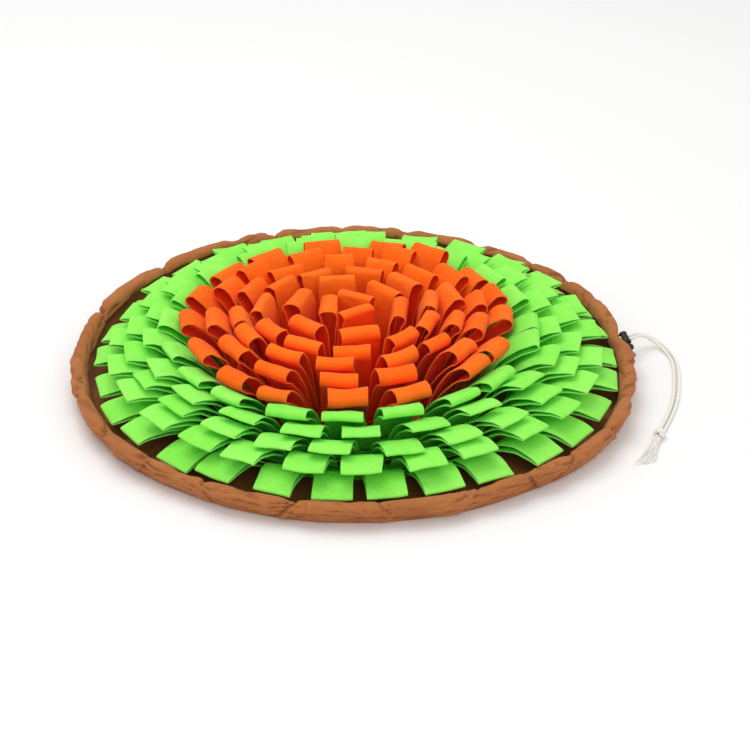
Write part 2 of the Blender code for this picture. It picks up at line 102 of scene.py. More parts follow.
def grid_faces(rows, columns, first=0, wrap_rows=False, wrap_columns=False):
    """Four-sided faces over a grid whose points are numbered row by row."""
    faces = []
    for row in range(rows if wrap_rows else rows - 1):
        for column in range(columns if wrap_columns else columns - 1):
            ahead = (row + 1) % rows
            beside = (column + 1) % columns
            faces.append((first + row * columns + column, first + ahead * columns + column,
                          first + ahead * columns + beside, first + row * columns + beside))
    return faces


def add_point_values(piece, name, values):
    """Store one number at each point, for a material to read."""
    layer = piece.data.attributes.new(name, "FLOAT", "POINT")
    layer.data.foreach_set("value", np.asarray(values, float))


def tube_faces(rows, sides, first=0):
    """Faces of a tube whose rows of points run round it, with a flat face at each end."""
    faces = [face[::-1] for face in grid_faces(rows, sides, first, wrap_columns=True)]
    last = first + (rows - 1) * sides
    faces.append(tuple(range(first, first + sides))[::-1])
    faces.append(tuple(range(last, last + sides)))
    return faces


def spun_faces(turns, columns):
    """Faces of a profile that is spun all the way round, with a fan at each end.

    The fans meet at two points of their own, which come after those of the profile.
    """
    faces = grid_faces(turns, columns, wrap_rows=True)
    middle = turns * columns
    for turn in range(turns):
        here = turn * columns
        ahead = (turn + 1) % turns * columns
        faces.append((middle, ahead, here))
        faces.append((middle + 1, here + columns - 1, ahead + columns - 1))
    return faces


print("a tube of 2 rows and 4 sides has", len(tube_faces(2, 4)), "faces")

# %% [markdown]
# ## Smooth lines and soft fades
#
# A cord or the edge of a cloth is known by a few places on it. A smooth curve through
# them could be a curve object, but here its points are needed as numbers, so the curve
# is worked out and stepped evenly. Folds and creases have no hard ends. One bell shape
# lets each of them fade away from its middle.


# %% Draw smooth lines
def unit(rows):
    """Directions, each scaled to length one."""
    return rows / np.maximum(np.linalg.norm(rows, axis=-1, keepdims=True), 1e-9)


def distance_along(points):
    """How far along a line each of its points lies."""
    return np.concatenate([[0], np.cumsum(np.linalg.norm(np.diff(points, axis=0), axis=1))])


def line_length(points):
    """Length of a line through points."""
    return float(distance_along(points)[-1])


def smooth_through(points, count, between=24):
    """Points at even steps on a smooth curve through the given ones."""
    knots = [Vector(point) for point in points]
    spans = len(knots) - 1
    dense = []
    for step in range(spans * between + 1):
        i = min(step // between, spans - 1)
        t = step / between - i
        a, b, c, d = (knots[max(i - 1, 0)], knots[i], knots[i + 1],
                      knots[min(i + 2, spans)])
        dense.append(0.5 * (2 * b + (c - a) * t + (2 * a - 5 * b + 4 * c - d) * t ** 2
                            + (3 * b - a - 3 * c + d) * t ** 3))
    dense = np.array(dense)
    run = distance_along(dense)
    even = np.linspace(0, run[-1], count)
    return np.stack([np.interp(even, run, dense[:, k]) for k in range(3)], axis=1)


def fade_from(distance, width, power=2):
    """A bell: 1 in the middle, 0.37 at the given width and 0 far away."""
    return np.exp(-np.abs(distance / width) ** power)


print("a bell at 0, 1 and 2 widths", fade_from(np.arange(3), 1).round(3))

# %% [markdown]
# ## Materials
#
# Felt has no threads. Its fibres lie every way, so it is matt, a little fuzzy at a low
# angle, and faintly mottled. Woven cloth has a grid of threads, braided cotton has
# slanting plaits, and the lock is moulded plastic. Each finish is made from procedural
# nodes: noise for the mottling, waves for the threads, and bump for the relief that is
# too fine for the mesh. A small class keeps the recipes short to read.


# %% Start a material
class Finish:
    """A node material in the making: each call adds a node and joins it up."""

    def __init__(self, name, roughness, sheen=0.0, sheen_rough=0.5, specular=0.3):
        self.material = bpy.data.materials.new(name)
        self.material.use_nodes = True
        self.tree = self.material.node_tree
        self.shader = self.tree.nodes["Principled BSDF"]
        self.shader.inputs["Roughness"].default_value = roughness
        self.shader.inputs["Sheen Weight"].default_value = sheen
        self.shader.inputs["Sheen Roughness"].default_value = sheen_rough
        self.shader.inputs["Specular IOR Level"].default_value = specular
        self.place = self.tree.nodes.new("ShaderNodeTexCoord").outputs["Object"]

    def node(self, kind, **settings):
        made = self.tree.nodes.new(kind)
        for key, value in settings.items():
            setattr(made, key, value)
        return made

    def join(self, output, target):
        self.tree.links.new(output, target)

    def noise(self, scale, detail=3.0, rough=0.55, place=None):
        made = self.node("ShaderNodeTexNoise")
        made.inputs["Scale"].default_value = scale
        made.inputs["Detail"].default_value = detail
        made.inputs["Roughness"].default_value = rough
        self.join(place or self.place, made.inputs["Vector"])
        return made.outputs["Fac"]

    def wave(self, scale, direction, place=None, distortion=0.0):
        made = self.node("ShaderNodeTexWave", bands_direction=direction)
        made.inputs["Scale"].default_value = scale
        made.inputs["Distortion"].default_value = distortion
        self.join(place or self.place, made.inputs["Vector"])
        return made.outputs["Fac"]

    def span(self, value, low, high, to_low=0.0, to_high=1.0):
        made = self.node("ShaderNodeMapRange")
        self.join(value, made.inputs["Value"])
        for key, number in (("From Min", low), ("From Max", high),
                            ("To Min", to_low), ("To Max", to_high)):
            made.inputs[key].default_value = number
        return made.outputs["Result"]

    def math(self, operation, a, b):
        made = self.node("ShaderNodeMath", operation=operation)
        for value, target in ((a, made.inputs[0]), (b, made.inputs[1])):
            if isinstance(value, (int, float)):
                target.default_value = value
            else:
                self.join(value, target)
        return made.outputs[0]

    def blend(self, share, first, second):
        """Mix two colours, each given as numbers or as another node's output."""
        made = self.node("ShaderNodeMix", data_type="RGBA")
        self.join(share, made.inputs["Factor"])
        for value, target in ((first, made.inputs["A"]), (second, made.inputs["B"])):
            if isinstance(value, tuple):
                target.default_value = (*value, 1.0)
            else:
                self.join(value, target)
        return made.outputs["Result"]

    def value_at_points(self, name):
        return self.node("ShaderNodeAttribute", attribute_name=name).outputs["Fac"]

    def colour(self, output):
        self.join(output, self.shader.inputs["Base Color"])

    def relief(self, height, depth, strength=1.0):
        """Raise the surface by a height map: depth is in metres."""
        bump = self.node("ShaderNodeBump")
        bump.inputs["Strength"].default_value = strength
        bump.inputs["Distance"].default_value = depth
        self.join(height, bump.inputs["Height"])
        self.join(bump.outputs["Normal"], self.shader.inputs["Normal"])

    def mean(self, a, b):
        return self.math("MULTIPLY", self.math("ADD", a, b), 0.5)


print("a finish can add", [name for name in vars(Finish) if not name.startswith("_")])

# %% [markdown]
# ## Felt
#
# The loops are cut from craft felt, one green and one orange. It could be one flat
# colour, but real felt is mottled, with matted fibres and a looser cut edge, where the
# loose fibres catch the light; that light is painted in as a paler edge, a painted
# highlight. Light that has gone from felt to felt takes on more of its colour each time,
# so painted shade gives the inside of a loop and the feet of its legs a deeper colour.
# The mesh says where those places are, in values that it stores at its points.


# %% Felt in two colours
def felt(name, deep, main, cut_edge_highlight, in_shade):
    """Craft felt: mottled and matt. Where loose fibres stand out at the cut edge it is
    painted paler, a painted highlight, and inside the loops it has painted shade.
    """
    finish = Finish(name, roughness=0.97, sheen=0.05, sheen_rough=0.5, specular=0.05)
    mottled = finish.span(finish.noise(scale=75, detail=4), 0.30, 0.70)
    matted = finish.span(finish.noise(scale=480, detail=6, rough=0.75), 0.34, 0.66)
    tone = finish.value_at_points("loop_tone")
    body = finish.blend(finish.mean(finish.mean(mottled, matted), tone), deep, main)
    # Painted shade: inside the loops and at their feet the felt is mixed toward a deeper
    # colour.
    body = finish.blend(finish.value_at_points("painted_loop_shade"), body, in_shade)
    fuzz = finish.span(finish.noise(scale=900, detail=2), 0.2, 0.7, to_low=0.55)
    # Painted highlight: where loose fibres stand out at the cut edge, the colour is mixed
    # unevenly toward a paler one.
    frayed = finish.math("MULTIPLY", finish.value_at_points("cut_edge_highlight"), fuzz)
    finish.colour(finish.blend(frayed, body, cut_edge_highlight))
    fibres = finish.math("ADD", finish.noise(scale=1500, detail=6, rough=0.75),
                         finish.noise(scale=420, detail=4, rough=0.6))
    lumps = finish.math("MULTIPLY", finish.noise(scale=150, detail=3, rough=0.6), 2.6)
    finish.relief(finish.math("ADD", fibres, lumps), depth=0.00050, strength=0.65)
    return finish.material


# The colours of each felt: deep and main, the paler cut edge of its painted highlight, and
# the painted shade inside the loops.
green_felt = felt("green_felt", (0.185, 0.780, 0.050), (0.370, 0.950, 0.150),
                  (0.440, 0.980, 0.250), (0.115, 0.860, 0.030))
orange_felt = felt("orange_felt", (0.960, 0.095, 0.004), (1.000, 0.195, 0.015),
                   (1.000, 0.235, 0.035), (0.980, 0.050, 0.002))
print("felts", green_felt.name, orange_felt.name)

# %% [markdown]
# ## Woven cloth
#
# The base is a thin brown woven cloth. Its threads are too fine to model, so two sets
# of waves cross in its relief, and a cloudy noise with a fine speckle varies its
# colour. The creases' floors are painted darker, as painted shade, because little light
# gets there, and so are the wall's inner side and the cloth under the loops, which stand
# in their shade.


# %% Woven cloth for the base
def woven_cloth(name, dark, light, inner):
    """A plain weave: warp and weft cross, and painted shade darkens the grooves, the
    wall's inner side and the floor.
    """
    finish = Finish(name, roughness=0.78, sheen=0.06, sheen_rough=0.4, specular=0.22)
    threads = finish.node("ShaderNodeUVMap").outputs["UV"]
    warp, weft = (finish.wave(scale=260, direction=way, place=threads, distortion=0.6)
                  for way in ("X", "Y"))
    weave = finish.math("MAXIMUM", warp, weft)
    cloudy = finish.span(finish.noise(scale=26, detail=4), 0.30, 0.72)
    speckled = finish.span(finish.noise(scale=700, detail=3), 0.25, 0.75)
    shade = finish.math("ADD", finish.math("MULTIPLY", cloudy, 0.65),
                        finish.math("MULTIPLY", speckled, 0.35))
    outer = finish.blend(shade, dark, light)
    # Painted shade: the creases' floors are mixed toward a darker brown.
    groove = finish.math("MULTIPLY", finish.value_at_points("groove"), 0.60)
    groove_colour = tuple(0.40 * value for value in dark)
    outer = finish.blend(groove, outer, groove_colour)
    # Painted shade: the wall's inner side and the floor are mixed toward the inner colour.
    finish.colour(finish.blend(finish.value_at_points("painted_inner_shade"), outer, inner))
    creases = finish.math("MULTIPLY", finish.noise(scale=170, detail=5, rough=0.6), 5.0)
    finish.relief(finish.math("ADD", weave, creases), depth=0.00014, strength=0.6)
    return finish.material


# The last colour is painted shade, for the wall's inner side and the floor.
brown_cloth = woven_cloth("brown_cloth", (0.345, 0.105, 0.025), (0.515, 0.187, 0.058),
                          (0.225, 0.080, 0.022))
print("cloth", brown_cloth.name)

# %% [markdown]
# ## Cotton, thread and plastic
#
# The cord is undyed cotton, its frayed yarn a little paler, and the stitches are brown
# thread. All three share one recipe: a fine mottling and a fibrous relief. The lock is
# black moulded plastic, smoother than any cloth, with only a faint grain.


# %% Cotton, thread and plastic
def cotton(name, dark, light, grain):
    """Soft yarn of two shades, with a fine fibrous relief."""
    finish = Finish(name, roughness=0.92, sheen=0.20, sheen_rough=0.5, specular=0.15)
    shade = finish.span(finish.noise(grain, detail=5, rough=0.65), 0.28, 0.74)
    finish.colour(finish.blend(shade, dark, light))
    fibres = finish.noise(grain * 2.2, detail=5, rough=0.7)
    finish.relief(fibres, depth=0.00022, strength=0.5)
    return finish.material


def moulded(name, dark, light):
    """Black moulded plastic with a fine spark-eroded grain."""
    finish = Finish(name, roughness=0.40, specular=0.35)
    shade = finish.span(finish.noise(scale=240, detail=3), 0.3, 0.7)
    finish.colour(finish.blend(shade, dark, light))
    finish.relief(finish.noise(scale=2600, detail=3), depth=0.00006, strength=0.5)
    return finish.material


white_cotton = cotton("white_cotton", (0.760, 0.720, 0.620), (0.940, 0.920, 0.850), 620)
loose_yarn = cotton("loose_yarn", (0.940, 0.920, 0.850), (1.000, 0.990, 0.940), 620)
brown_thread = cotton("brown_thread", (0.150, 0.048, 0.020), (0.280, 0.100, 0.045), 1400)
black_plastic = moulded("black_plastic", (0.006, 0.006, 0.007), (0.014, 0.014, 0.015))
print("cottons and plastic", white_cotton.name, loose_yarn.name, black_plastic.name)

# %% [markdown]
# ## The drawcord
#
# Two ends of one braided cotton cord leave the rim at a small buttonhole, pass through
# the lock, part a little as they lie on the floor, and meet again in a knot. A rope
# simulation could drop them there, but they wouldn't come to lie as in the photograph.
# So the route is a short list of places, the one that the solids follow, with a smooth
# curve through them. The strands lie side by side, one to either side of it.

# %% Repeat the cord's route
CORD_RADIUS = 0.0015
LOCK_CENTRE = Vector((0.2471, 0.0387, 0.0172)) + WALL_CENTRE
LOCK_AXIS = Vector((0.35, -0.85, -0.39)).normalized()
LOCK_RADIUS = 0.0040
CORD_LEAVES = Vector((0.93, 0.35, 0.08))
CORD_WAY = (CORD_LEAVES - LOCK_AXIS * CORD_LEAVES.dot(LOCK_AXIS)).normalized()
SLOT_FROM_LOCK = 0.0091
CORD_IN_SLOT = 0.0032
CLEAR_OF_LOCK = 0.0045

CORD_ROUTE = (
    (0.2585, 0.0467, 0.0162), (0.2668, 0.0530, 0.0124), (0.2758, 0.0532, 0.0076),
    (0.2832, 0.0487, 0.0040), (0.2876, 0.0412, 0.0022), (0.2903, 0.0310, 0.0015),
    (0.2912, 0.0200, 0.0015), (0.2908, 0.0090, 0.0015), (0.2896, -0.0030, 0.0015),
    (0.2880, -0.0160, 0.0015), (0.2858, -0.0300, 0.0015), (0.2829, -0.0440, 0.0015),
    (0.2793, -0.0570, 0.0015), (0.2753, -0.0690, 0.0015), (0.2708, -0.0805, 0.0015),
    (0.2665, -0.0910, 0.0016),
)
STRAND_OFFSET = 0.00172
STRAND_PARTED = 0.0004
NEAR_LOCK = 0.014
KNOT_CENTRE = Vector((0.2612, -0.1045, 0.0)) + WALL_CENTRE
TAIL_END = Vector((0.2428, -0.1508, 0.0)) + WALL_CENTRE
KNOT_WAY = (TAIL_END - KNOT_CENTRE).normalized()
KNOT_BACK = 0.0059
BEFORE_KNOT = 0.0030
INTO_KNOT = 0.0022
STRAND_POINTS = 430
FLOOR_GAP = 0.0001


def strand_line(side):
    """Middle line of one strand, from inside the buttonhole to the knot."""
    inside = LOCK_CENTRE - CORD_WAY * (SLOT_FROM_LOCK + CORD_IN_SLOT)
    outside = LOCK_CENTRE + CORD_WAY * (LOCK_RADIUS + CLEAR_OF_LOCK)
    meet = KNOT_CENTRE - KNOT_WAY * KNOT_BACK
    meet.z = CORD_RADIUS
    middle = [inside, LOCK_CENTRE, outside]
    middle += [Vector(point) + WALL_CENTRE for point in CORD_ROUTE]
    middle += [meet - KNOT_WAY * BEFORE_KNOT, meet, meet + KNOT_WAY * INTO_KNOT]
    line = smooth_through(middle, STRAND_POINTS)
    run = np.gradient(line, axis=0)
    beside = unit(np.stack([-run[:, 1], run[:, 0], np.zeros(len(run))], axis=1))
    # In the lock the strands lie side by side along its axis, as its hole does.
    from_lock = np.linalg.norm(line - np.array(LOCK_CENTRE), axis=1)
    in_lock = fade_from(from_lock, NEAR_LOCK, power=4)[:, None]
    beside = unit(beside * (1 - in_lock) - np.array(LOCK_AXIS) * in_lock)
    share = np.linspace(0, 1, len(line))[:, None]
    apart = STRAND_OFFSET + STRAND_PARTED * np.sin(np.pi * share) ** 2
    line = line + beside * side * apart
    line[:, 2] = np.maximum(line[:, 2], CORD_RADIUS + FLOOR_GAP)
    return line


left_line = strand_line(1)
right_line = strand_line(-1)
print("strands", round(line_length(left_line), 4), round(line_length(right_line), 4))

# %% [markdown]
# ## The braid
#
# The cord is braided from slanting plaits that cross. The braid could be a texture, but
# its outline shows, so the mesh itself carries it: two sets of slanting waves run round
# a tube, and at each point the higher of the two is the surface.


# %% Braid a strand
def directions_across(line):
    """Two directions across a line at each of its points: sideways and upwards."""
    along = unit(np.gradient(line, axis=0))
    across = unit(np.cross(along, (0.0, 0.0, 1.0)))
    return across, np.cross(across, along)


def braided_strand(name, line, radius, sides=18, plaits=4, lay=0.0062, depth=0.16):
    """A closed tube along a line, with the slanting plaits of a braid."""
    across, over = directions_across(line)
    angle = np.arange(sides) / sides * 2 * math.pi
    turn, way = np.meshgrid(angle, distance_along(line))
    one = np.sin(plaits * turn + 2 * math.pi * way / lay)
    other = np.sin(plaits * turn - 2 * math.pi * way / lay)
    r = radius * (1 - depth * 0.5 + depth * 0.5 * np.maximum(one, other))
    points = (line[:, None, :] + across[:, None, :] * (r * np.cos(turn))[..., None]
              + over[:, None, :] * (r * np.sin(turn))[..., None]).reshape(-1, 3)
    faces = grid_faces(len(line), sides, wrap_columns=True)
    middle = len(points)
    last = middle - sides
    for side in range(sides):
        beside = (side + 1) % sides
        faces.append((middle, side, beside))
        faces.append((middle + 1, last + beside, last + side))
    points = np.concatenate([points, line[:1], line[-1:]])
    return new_piece(name, points, faces, white_cotton)


cord_left = braided_strand("cord_left", left_line, CORD_RADIUS)
cord_right = braided_strand("cord_right", right_line, CORD_RADIUS)
print("faces of a strand", len(cord_left.data.polygons))

# %% [markdown]
# ## The knot
#
# The two strands are tied off in one small knot. A true knot could be traced turn by
# turn, but only a tight lump of cord shows, so the same braid is wound a little more
# than twice round the two strands. Its ends are drawn in, which tucks them under.

# %% Wrap the knot
KNOT_TURNS = 2.35
KNOT_FIRST_ANGLE = -0.9
KNOT_POINTS = 150
KNOT_LONG = 0.0066
KNOT_WIDE = 0.00345
KNOT_TALL = 0.00275
KNOT_MIDDLE = 0.00425
KNOT_SLANT = 0.0007
TUCKED_IN = 0.35
TUCK_SHARE = 0.07
KNOT_CORD_RADIUS = 0.00148
UP = Vector((0, 0, 1))
KNOT_SIDE = Vector((-KNOT_WAY.y, KNOT_WAY.x, 0.0))


def knot_line():
    """The turns round the strands, tucked under at both ends."""
    points = []
    for step in range(KNOT_POINTS):
        share = step / (KNOT_POINTS - 1)
        angle = 2 * math.pi * KNOT_TURNS * share + KNOT_FIRST_ANGLE
        ends = fade_from(share, TUCK_SHARE) + fade_from(1 - share, TUCK_SHARE)
        tuck = 1.0 - TUCKED_IN * float(ends)
        along = (share - 0.5) * KNOT_LONG + KNOT_SLANT * math.sin(angle)
        points.append(KNOT_CENTRE + KNOT_WAY * along
                      + KNOT_SIDE * KNOT_WIDE * tuck * math.cos(angle)
                      + UP * (KNOT_MIDDLE + KNOT_TALL * tuck * math.sin(angle)))
    return np.array(points)


knot = braided_strand("knot_turns", knot_line(), KNOT_CORD_RADIUS, sides=16)
print("knot", len(knot.data.polygons), "faces")

# %% [markdown]
# ## The frayed end
#
# Beyond the knot the braid has come undone into loose yarn, which spreads out flat on
# the floor. Hair strands could do it, but they aren't a mesh, and a shared part is one.
# So each fibre is a thin tapering tube. The fibres start close together in a few
# bundles and fan out, with their own bends and lengths, and are joined into one piece.

# %% Fray the end
FIBRES = 190
BUNDLES = 7
FIBRE_STEPS = 16
FIBRE_SIDES = 4
FAN_HALF = 0.0066
START_HALF = 0.0021
TAIL_REACH = 0.0455
REACH_LOST_ASIDE = 0.62
FAN_CURVE = 2.1
FIBRE_TAPER = 0.55
FIBRE_LOWEST = 0.0003


def frayed_end(seed=11):
    """Loose yarn: bundles of fine fibres that fan out and settle on the floor."""
    pick = random.Random(seed)
    side, way, start = (np.array(v) for v in (KNOT_SIDE, KNOT_WAY, KNOT_CENTRE))
    points = []
    faces = []
    for fibre in range(FIBRES):
        bundle = 2 * pick.randrange(BUNDLES) / (BUNDLES - 1) - 1
        spread = bundle * FAN_HALF + pick.uniform(-0.0020, 0.0020)
        from_side = bundle * START_HALF + pick.uniform(-0.0009, 0.0009)
        begin = 0.0020 + pick.uniform(0.0, 0.0015)
        reach = TAIL_REACH - REACH_LOST_ASIDE * spread + pick.uniform(-0.008, 0.0016)
        height = pick.uniform(0.0005, 0.0046)
        radius = pick.uniform(0.00012, 0.00023)
        bend = pick.uniform(-0.0016, 0.0016)
        ripple = pick.uniform(0.5, 1.6)
        phase = pick.uniform(0, 6.28)
        faces += tube_faces(FIBRE_STEPS, FIBRE_SIDES, len(points))
        for step in range(FIBRE_STEPS):
            share = step / (FIBRE_STEPS - 1)
            out = begin + (reach - begin) * share
            aside = (from_side + (spread - from_side) * share ** FAN_CURVE
                     + bend * math.sin(math.pi * share * ripple + phase) * share)
            level = height * (1 - share) ** 1.5 + FIBRE_LOWEST + pick.uniform(0, 0.0002)
            thin = radius * (1 - FIBRE_TAPER * share)
            for corner in range(FIBRE_SIDES):
                angle = 2 * math.pi * (corner + 0.5) / FIBRE_SIDES
                points.append(start + way * out + side * (aside + thin * math.cos(angle))
                              + (0, 0, level + thin * math.sin(angle)))
    return new_piece("frayed_yarn", points, faces, loose_yarn)


frayed = frayed_end()
print("frayed end", len(frayed.data.polygons), "faces")

# %% [markdown]
# ## The gathered rim
#
# The mat's edge is a channel of cloth with the cord inside: a soft tube that stands up
# all round, higher behind than in front. It could be sculpted, but the lesson keeps it
# a formula: twelve places give its radius and height, one section gives its form, and
# at each pinch the cord draws the tube in and flattens it.

# %% Sections of the wall
CLOTH = 0.0015
WALL_ROWS = (
    # azimuth, radius, height
    (-180, 0.2460, 0.0265), (-150, 0.2450, 0.0245), (-120, 0.2388, 0.0225),
    (-90, 0.2392, 0.0215), (-60, 0.2420, 0.0220), (-30, 0.2512, 0.0240),
    (0, 0.2464, 0.0250), (30, 0.2475, 0.0270), (60, 0.2458, 0.0285),
    (90, 0.2486, 0.0300), (120, 0.2500, 0.0306), (150, 0.2490, 0.0290),
)
WALL_SECTION = (
    # out from the radius, share of the height
    (-0.0070, 0.00), (-0.0030, 0.24), (0.0012, 0.56), (0.0036, 0.84),
    (0.0004, 1.00), (-0.0070, 0.93), (-0.0110, 0.64), (-0.0124, 0.30),
)
WALL_CORE = 0.0034
WALL_FOOT_INSIDE = -0.0150
CROWN_DROP = 0.30
ROW_STEP = 30.0
PINCHES = (
    # azimuth, half width, how tight, step inwards
    (162, 2.2, 0.36, 0.0014), (138, 2.4, 0.46, 0.0020), (119, 2.0, 0.34, 0.0012),
    (109, 2.4, 0.42, 0.0022), (93, 2.2, 0.26, 0.0008), (78, 2.4, 0.40, 0.0022),
    (60, 2.6, 0.46, 0.0024), (46, 2.0, 0.30, 0.0010), (34, 2.2, 0.40, 0.0016),
    (25, 2.0, 0.30, 0.0010), (8.5, 5.0, 0.30, 0.0056), (-4, 2.2, 0.40, 0.0014),
    (-16, 2.4, 0.36, 0.0014), (-30, 2.2, 0.42, 0.0018), (-43, 2.0, 0.30, 0.0010),
    (-53, 2.4, 0.40, 0.0012), (-66, 2.0, 0.30, 0.0010), (-84, 2.2, 0.22, 0.0006),
    (-101, 2.6, 0.50, 0.0016), (-120, 2.2, 0.34, 0.0012), (-134, 2.0, 0.28, 0.0008),
    (-147, 2.4, 0.38, 0.0016), (-163, 2.2, 0.32, 0.0012),
)
PINCH_WIDTH = 0.75
PINCH_DEPTH = 0.85
PINCH_SHAPE = 1.6


def degrees_apart(a, b):
    """The difference of two azimuths, between -180 and 180."""
    return (a - b + 180.0) % 360.0 - 180.0


def wall_at(azimuth):
    """Radius, height, tightness and inward step of the wall at azimuths."""
    azimuth = np.atleast_1d(np.asarray(azimuth, float))
    table = np.array(WALL_ROWS)
    place = ((azimuth + 180.0) % 360.0) / ROW_STEP
    here = place.astype(int) % len(table)
    ahead = (here + 1) % len(table)
    share = (0.5 - 0.5 * np.cos(np.pi * (place - place.astype(int))))[:, None]
    values = table[here, 1:] + (table[ahead, 1:] - table[here, 1:]) * share
    tight = np.zeros(len(azimuth))
    inward = np.zeros(len(azimuth))
    for centre, width, thin, step in PINCHES:
        near = fade_from(degrees_apart(azimuth, centre), width * PINCH_WIDTH, PINCH_SHAPE)
        tight = np.maximum(tight, PINCH_DEPTH * thin * near)
        inward = inward + PINCH_DEPTH * step * near
    return values[:, 0], values[:, 1], tight, inward


print("wall radius at front and right", wall_at([-90, 0])[0].round(4))

# %% [markdown]
# ## Where the creases run
#
# Gathered cloth creases in two ways. Long slanting creases lie anywhere on it, and
# short ones run out from each pinch along the rim and fade. A noise texture could make
# them, but it wouldn't know where the pinches are. So each crease is a short line with
# a place, slant, length, width and depth of its own, picked by a seeded random draw.

# %% Draw the creases
RIM_RADIUS = 0.245
SECTION_LENGTH = 0.052
# Creases anywhere on the rim: smallest and largest of each measure, slant in degrees.
FREE_LEVEL = (0.08, 0.92)
FREE_SLANT = (3, 30)
FREE_LENGTH = (0.008, 0.030)
FREE_WIDTH = (0.0011, 0.0024)
FREE_DEPTH = (0.0004, 0.0012)
# Creases that leave a pinch: the same, with the slant in radians.
KNUCKLE_LEVEL = (0.12, 0.90)
KNUCKLE_SLANT = (-0.45, 0.45)
KNUCKLE_LENGTH = (0.008, 0.022)
KNUCKLE_WIDTH = (0.0010, 0.0020)
KNUCKLE_DEPTH = (0.0020, 0.0042)


def wrinkle_noise(x, y, seed, waves=26, low=0.6, high=1.8):
    """Smooth uneven ripples between about -1 and 1: a seeded sum of plane waves."""
    pick = random.Random(seed)
    total = np.zeros(np.broadcast(x, y).shape)
    for wave in range(waves):
        angle = pick.uniform(0, 2 * math.pi)
        pace = pick.uniform(low, high)
        shift = pick.uniform(0, 2 * math.pi)
        total = total + np.sin(2 * math.pi * pace
                               * (x * math.cos(angle) + y * math.sin(angle)) + shift)
    return total / math.sqrt(waves / 2) / 2


def free_creases(seed=5, count=130):
    """Long slanting creases anywhere: azimuth, level, slant, length, width, depth."""
    pick = random.Random(seed)
    return [(pick.uniform(-180, 180), pick.uniform(*FREE_LEVEL),
             math.radians(pick.choice((-1, 1)) * pick.uniform(*FREE_SLANT)),
             pick.uniform(*FREE_LENGTH), pick.uniform(*FREE_WIDTH),
             pick.choice((-1, -1, 1)) * pick.uniform(*FREE_DEPTH))
            for number in range(count)]


def knuckle_creases(seed=6):
    """Creases that run out from each pinch along the rim, and fade."""
    pick = random.Random(seed)
    creases = []
    for centre, width, thin, step in PINCHES:
        for way in (-1, 1):
            for number in range(pick.choice((3, 4, 4))):
                length = pick.uniform(*KNUCKLE_LENGTH)
                away = way * (length * 0.6 + 0.001)
                creases.append((centre + math.degrees(away / RIM_RADIUS),
                                pick.uniform(*KNUCKLE_LEVEL),
                                pick.uniform(*KNUCKLE_SLANT), length,
                                pick.uniform(*KNUCKLE_WIDTH),
                                -thin * pick.uniform(*KNUCKLE_DEPTH)))
    return creases


rim_creases = free_creases() + knuckle_creases()
print("creases", len(rim_creases))

# %% [markdown]
# ## How far the gathered cloth stands out
#
# Four kinds of relief make the rim look sewn and drawn up: soft ripples all round it,
# small sharp crumples beside each pinch, the creases, and at each pinch a lip where one
# stretch of the tube lies over the next. A bump map could show them, but the outline
# would stay smooth. So the points of the mesh itself move, square to its surface.

# %% Raise the folds
RIPPLES = (
    # depth, length round the rim, length up the wall, seed
    (0.0010, 0.060, 0.040, 21), (0.0006, 0.075, 0.013, 22),
    (0.00050, 0.024, 0.015, 24), (0.00011, 0.012, 0.006, 23),
)
CRUMPLE_ROUND = 0.0085
CRUMPLE_UP = 0.0095
CRUMPLE_DEGREES = 3.2
CRUMPLE_RISE = 0.0034
CRUMPLE_SINK = 0.0018
CREASE_ENDS = 2.4
SHOULDER_AWAY = 2.1
SHOULDER_WIDE = 1.6
SHOULDER_SHARE = 0.5
LIP_EDGE = 0.0007
LIP_RISE = 0.0042
LIP_RUN = 0.008
LIP_SINK = 0.0046
LIP_SINK_RUN = 0.005
LIP_SLANT = (0.25, 0.75)
LOCK_AZIMUTH = 9.0
LOCK_DEGREES = 5.0
CALM_AT_LOCK = 0.75
INNER_SIDE = 0.50
INNER_BLEND = 0.12
INNER_MOST = 0.0002


def ripples_and_crumples(azimuth, height):
    """Soft ripples all round, and small sharp folds where the cloth is bunched."""
    ring = np.radians(azimuth)
    x = np.cos(ring) * RIM_RADIUS
    y = np.sin(ring) * RIM_RADIUS
    out = sum(depth * wrinkle_noise(x / length, y / length + height / tall, seed)
              for depth, length, tall, seed in RIPPLES)
    bunched = sum(thin * fade_from(degrees_apart(azimuth, centre), CRUMPLE_DEGREES)
                  for centre, width, thin, step in PINCHES)
    crumpled = wrinkle_noise(x / CRUMPLE_ROUND, y / CRUMPLE_ROUND + height / CRUMPLE_UP,
                             seed=25, low=0.4, high=1.3)
    return out + bunched * (CRUMPLE_RISE * np.abs(crumpled) - CRUMPLE_SINK)


def add_creases(out, azimuth, height):
    """Press each crease into the relief, with a low shoulder along one side."""
    for centre, where, slant, length, width, depth in rim_creases:
        reach = math.degrees(CREASE_ENDS * length / RIM_RADIUS)
        near = np.abs(degrees_apart(azimuth[:, 0], centre)) < reach
        along = np.radians(degrees_apart(azimuth[near], centre)) * RIM_RADIUS
        over = height - where * SECTION_LENGTH
        run = along * math.cos(slant) + over * math.sin(slant)
        off = -along * math.sin(slant) + over * math.cos(slant)
        shoulder = fade_from(off - SHOULDER_AWAY * width, SHOULDER_WIDE * width)
        out[near] += depth * fade_from(run, length) * (
            fade_from(off, width) - SHOULDER_SHARE * shoulder)


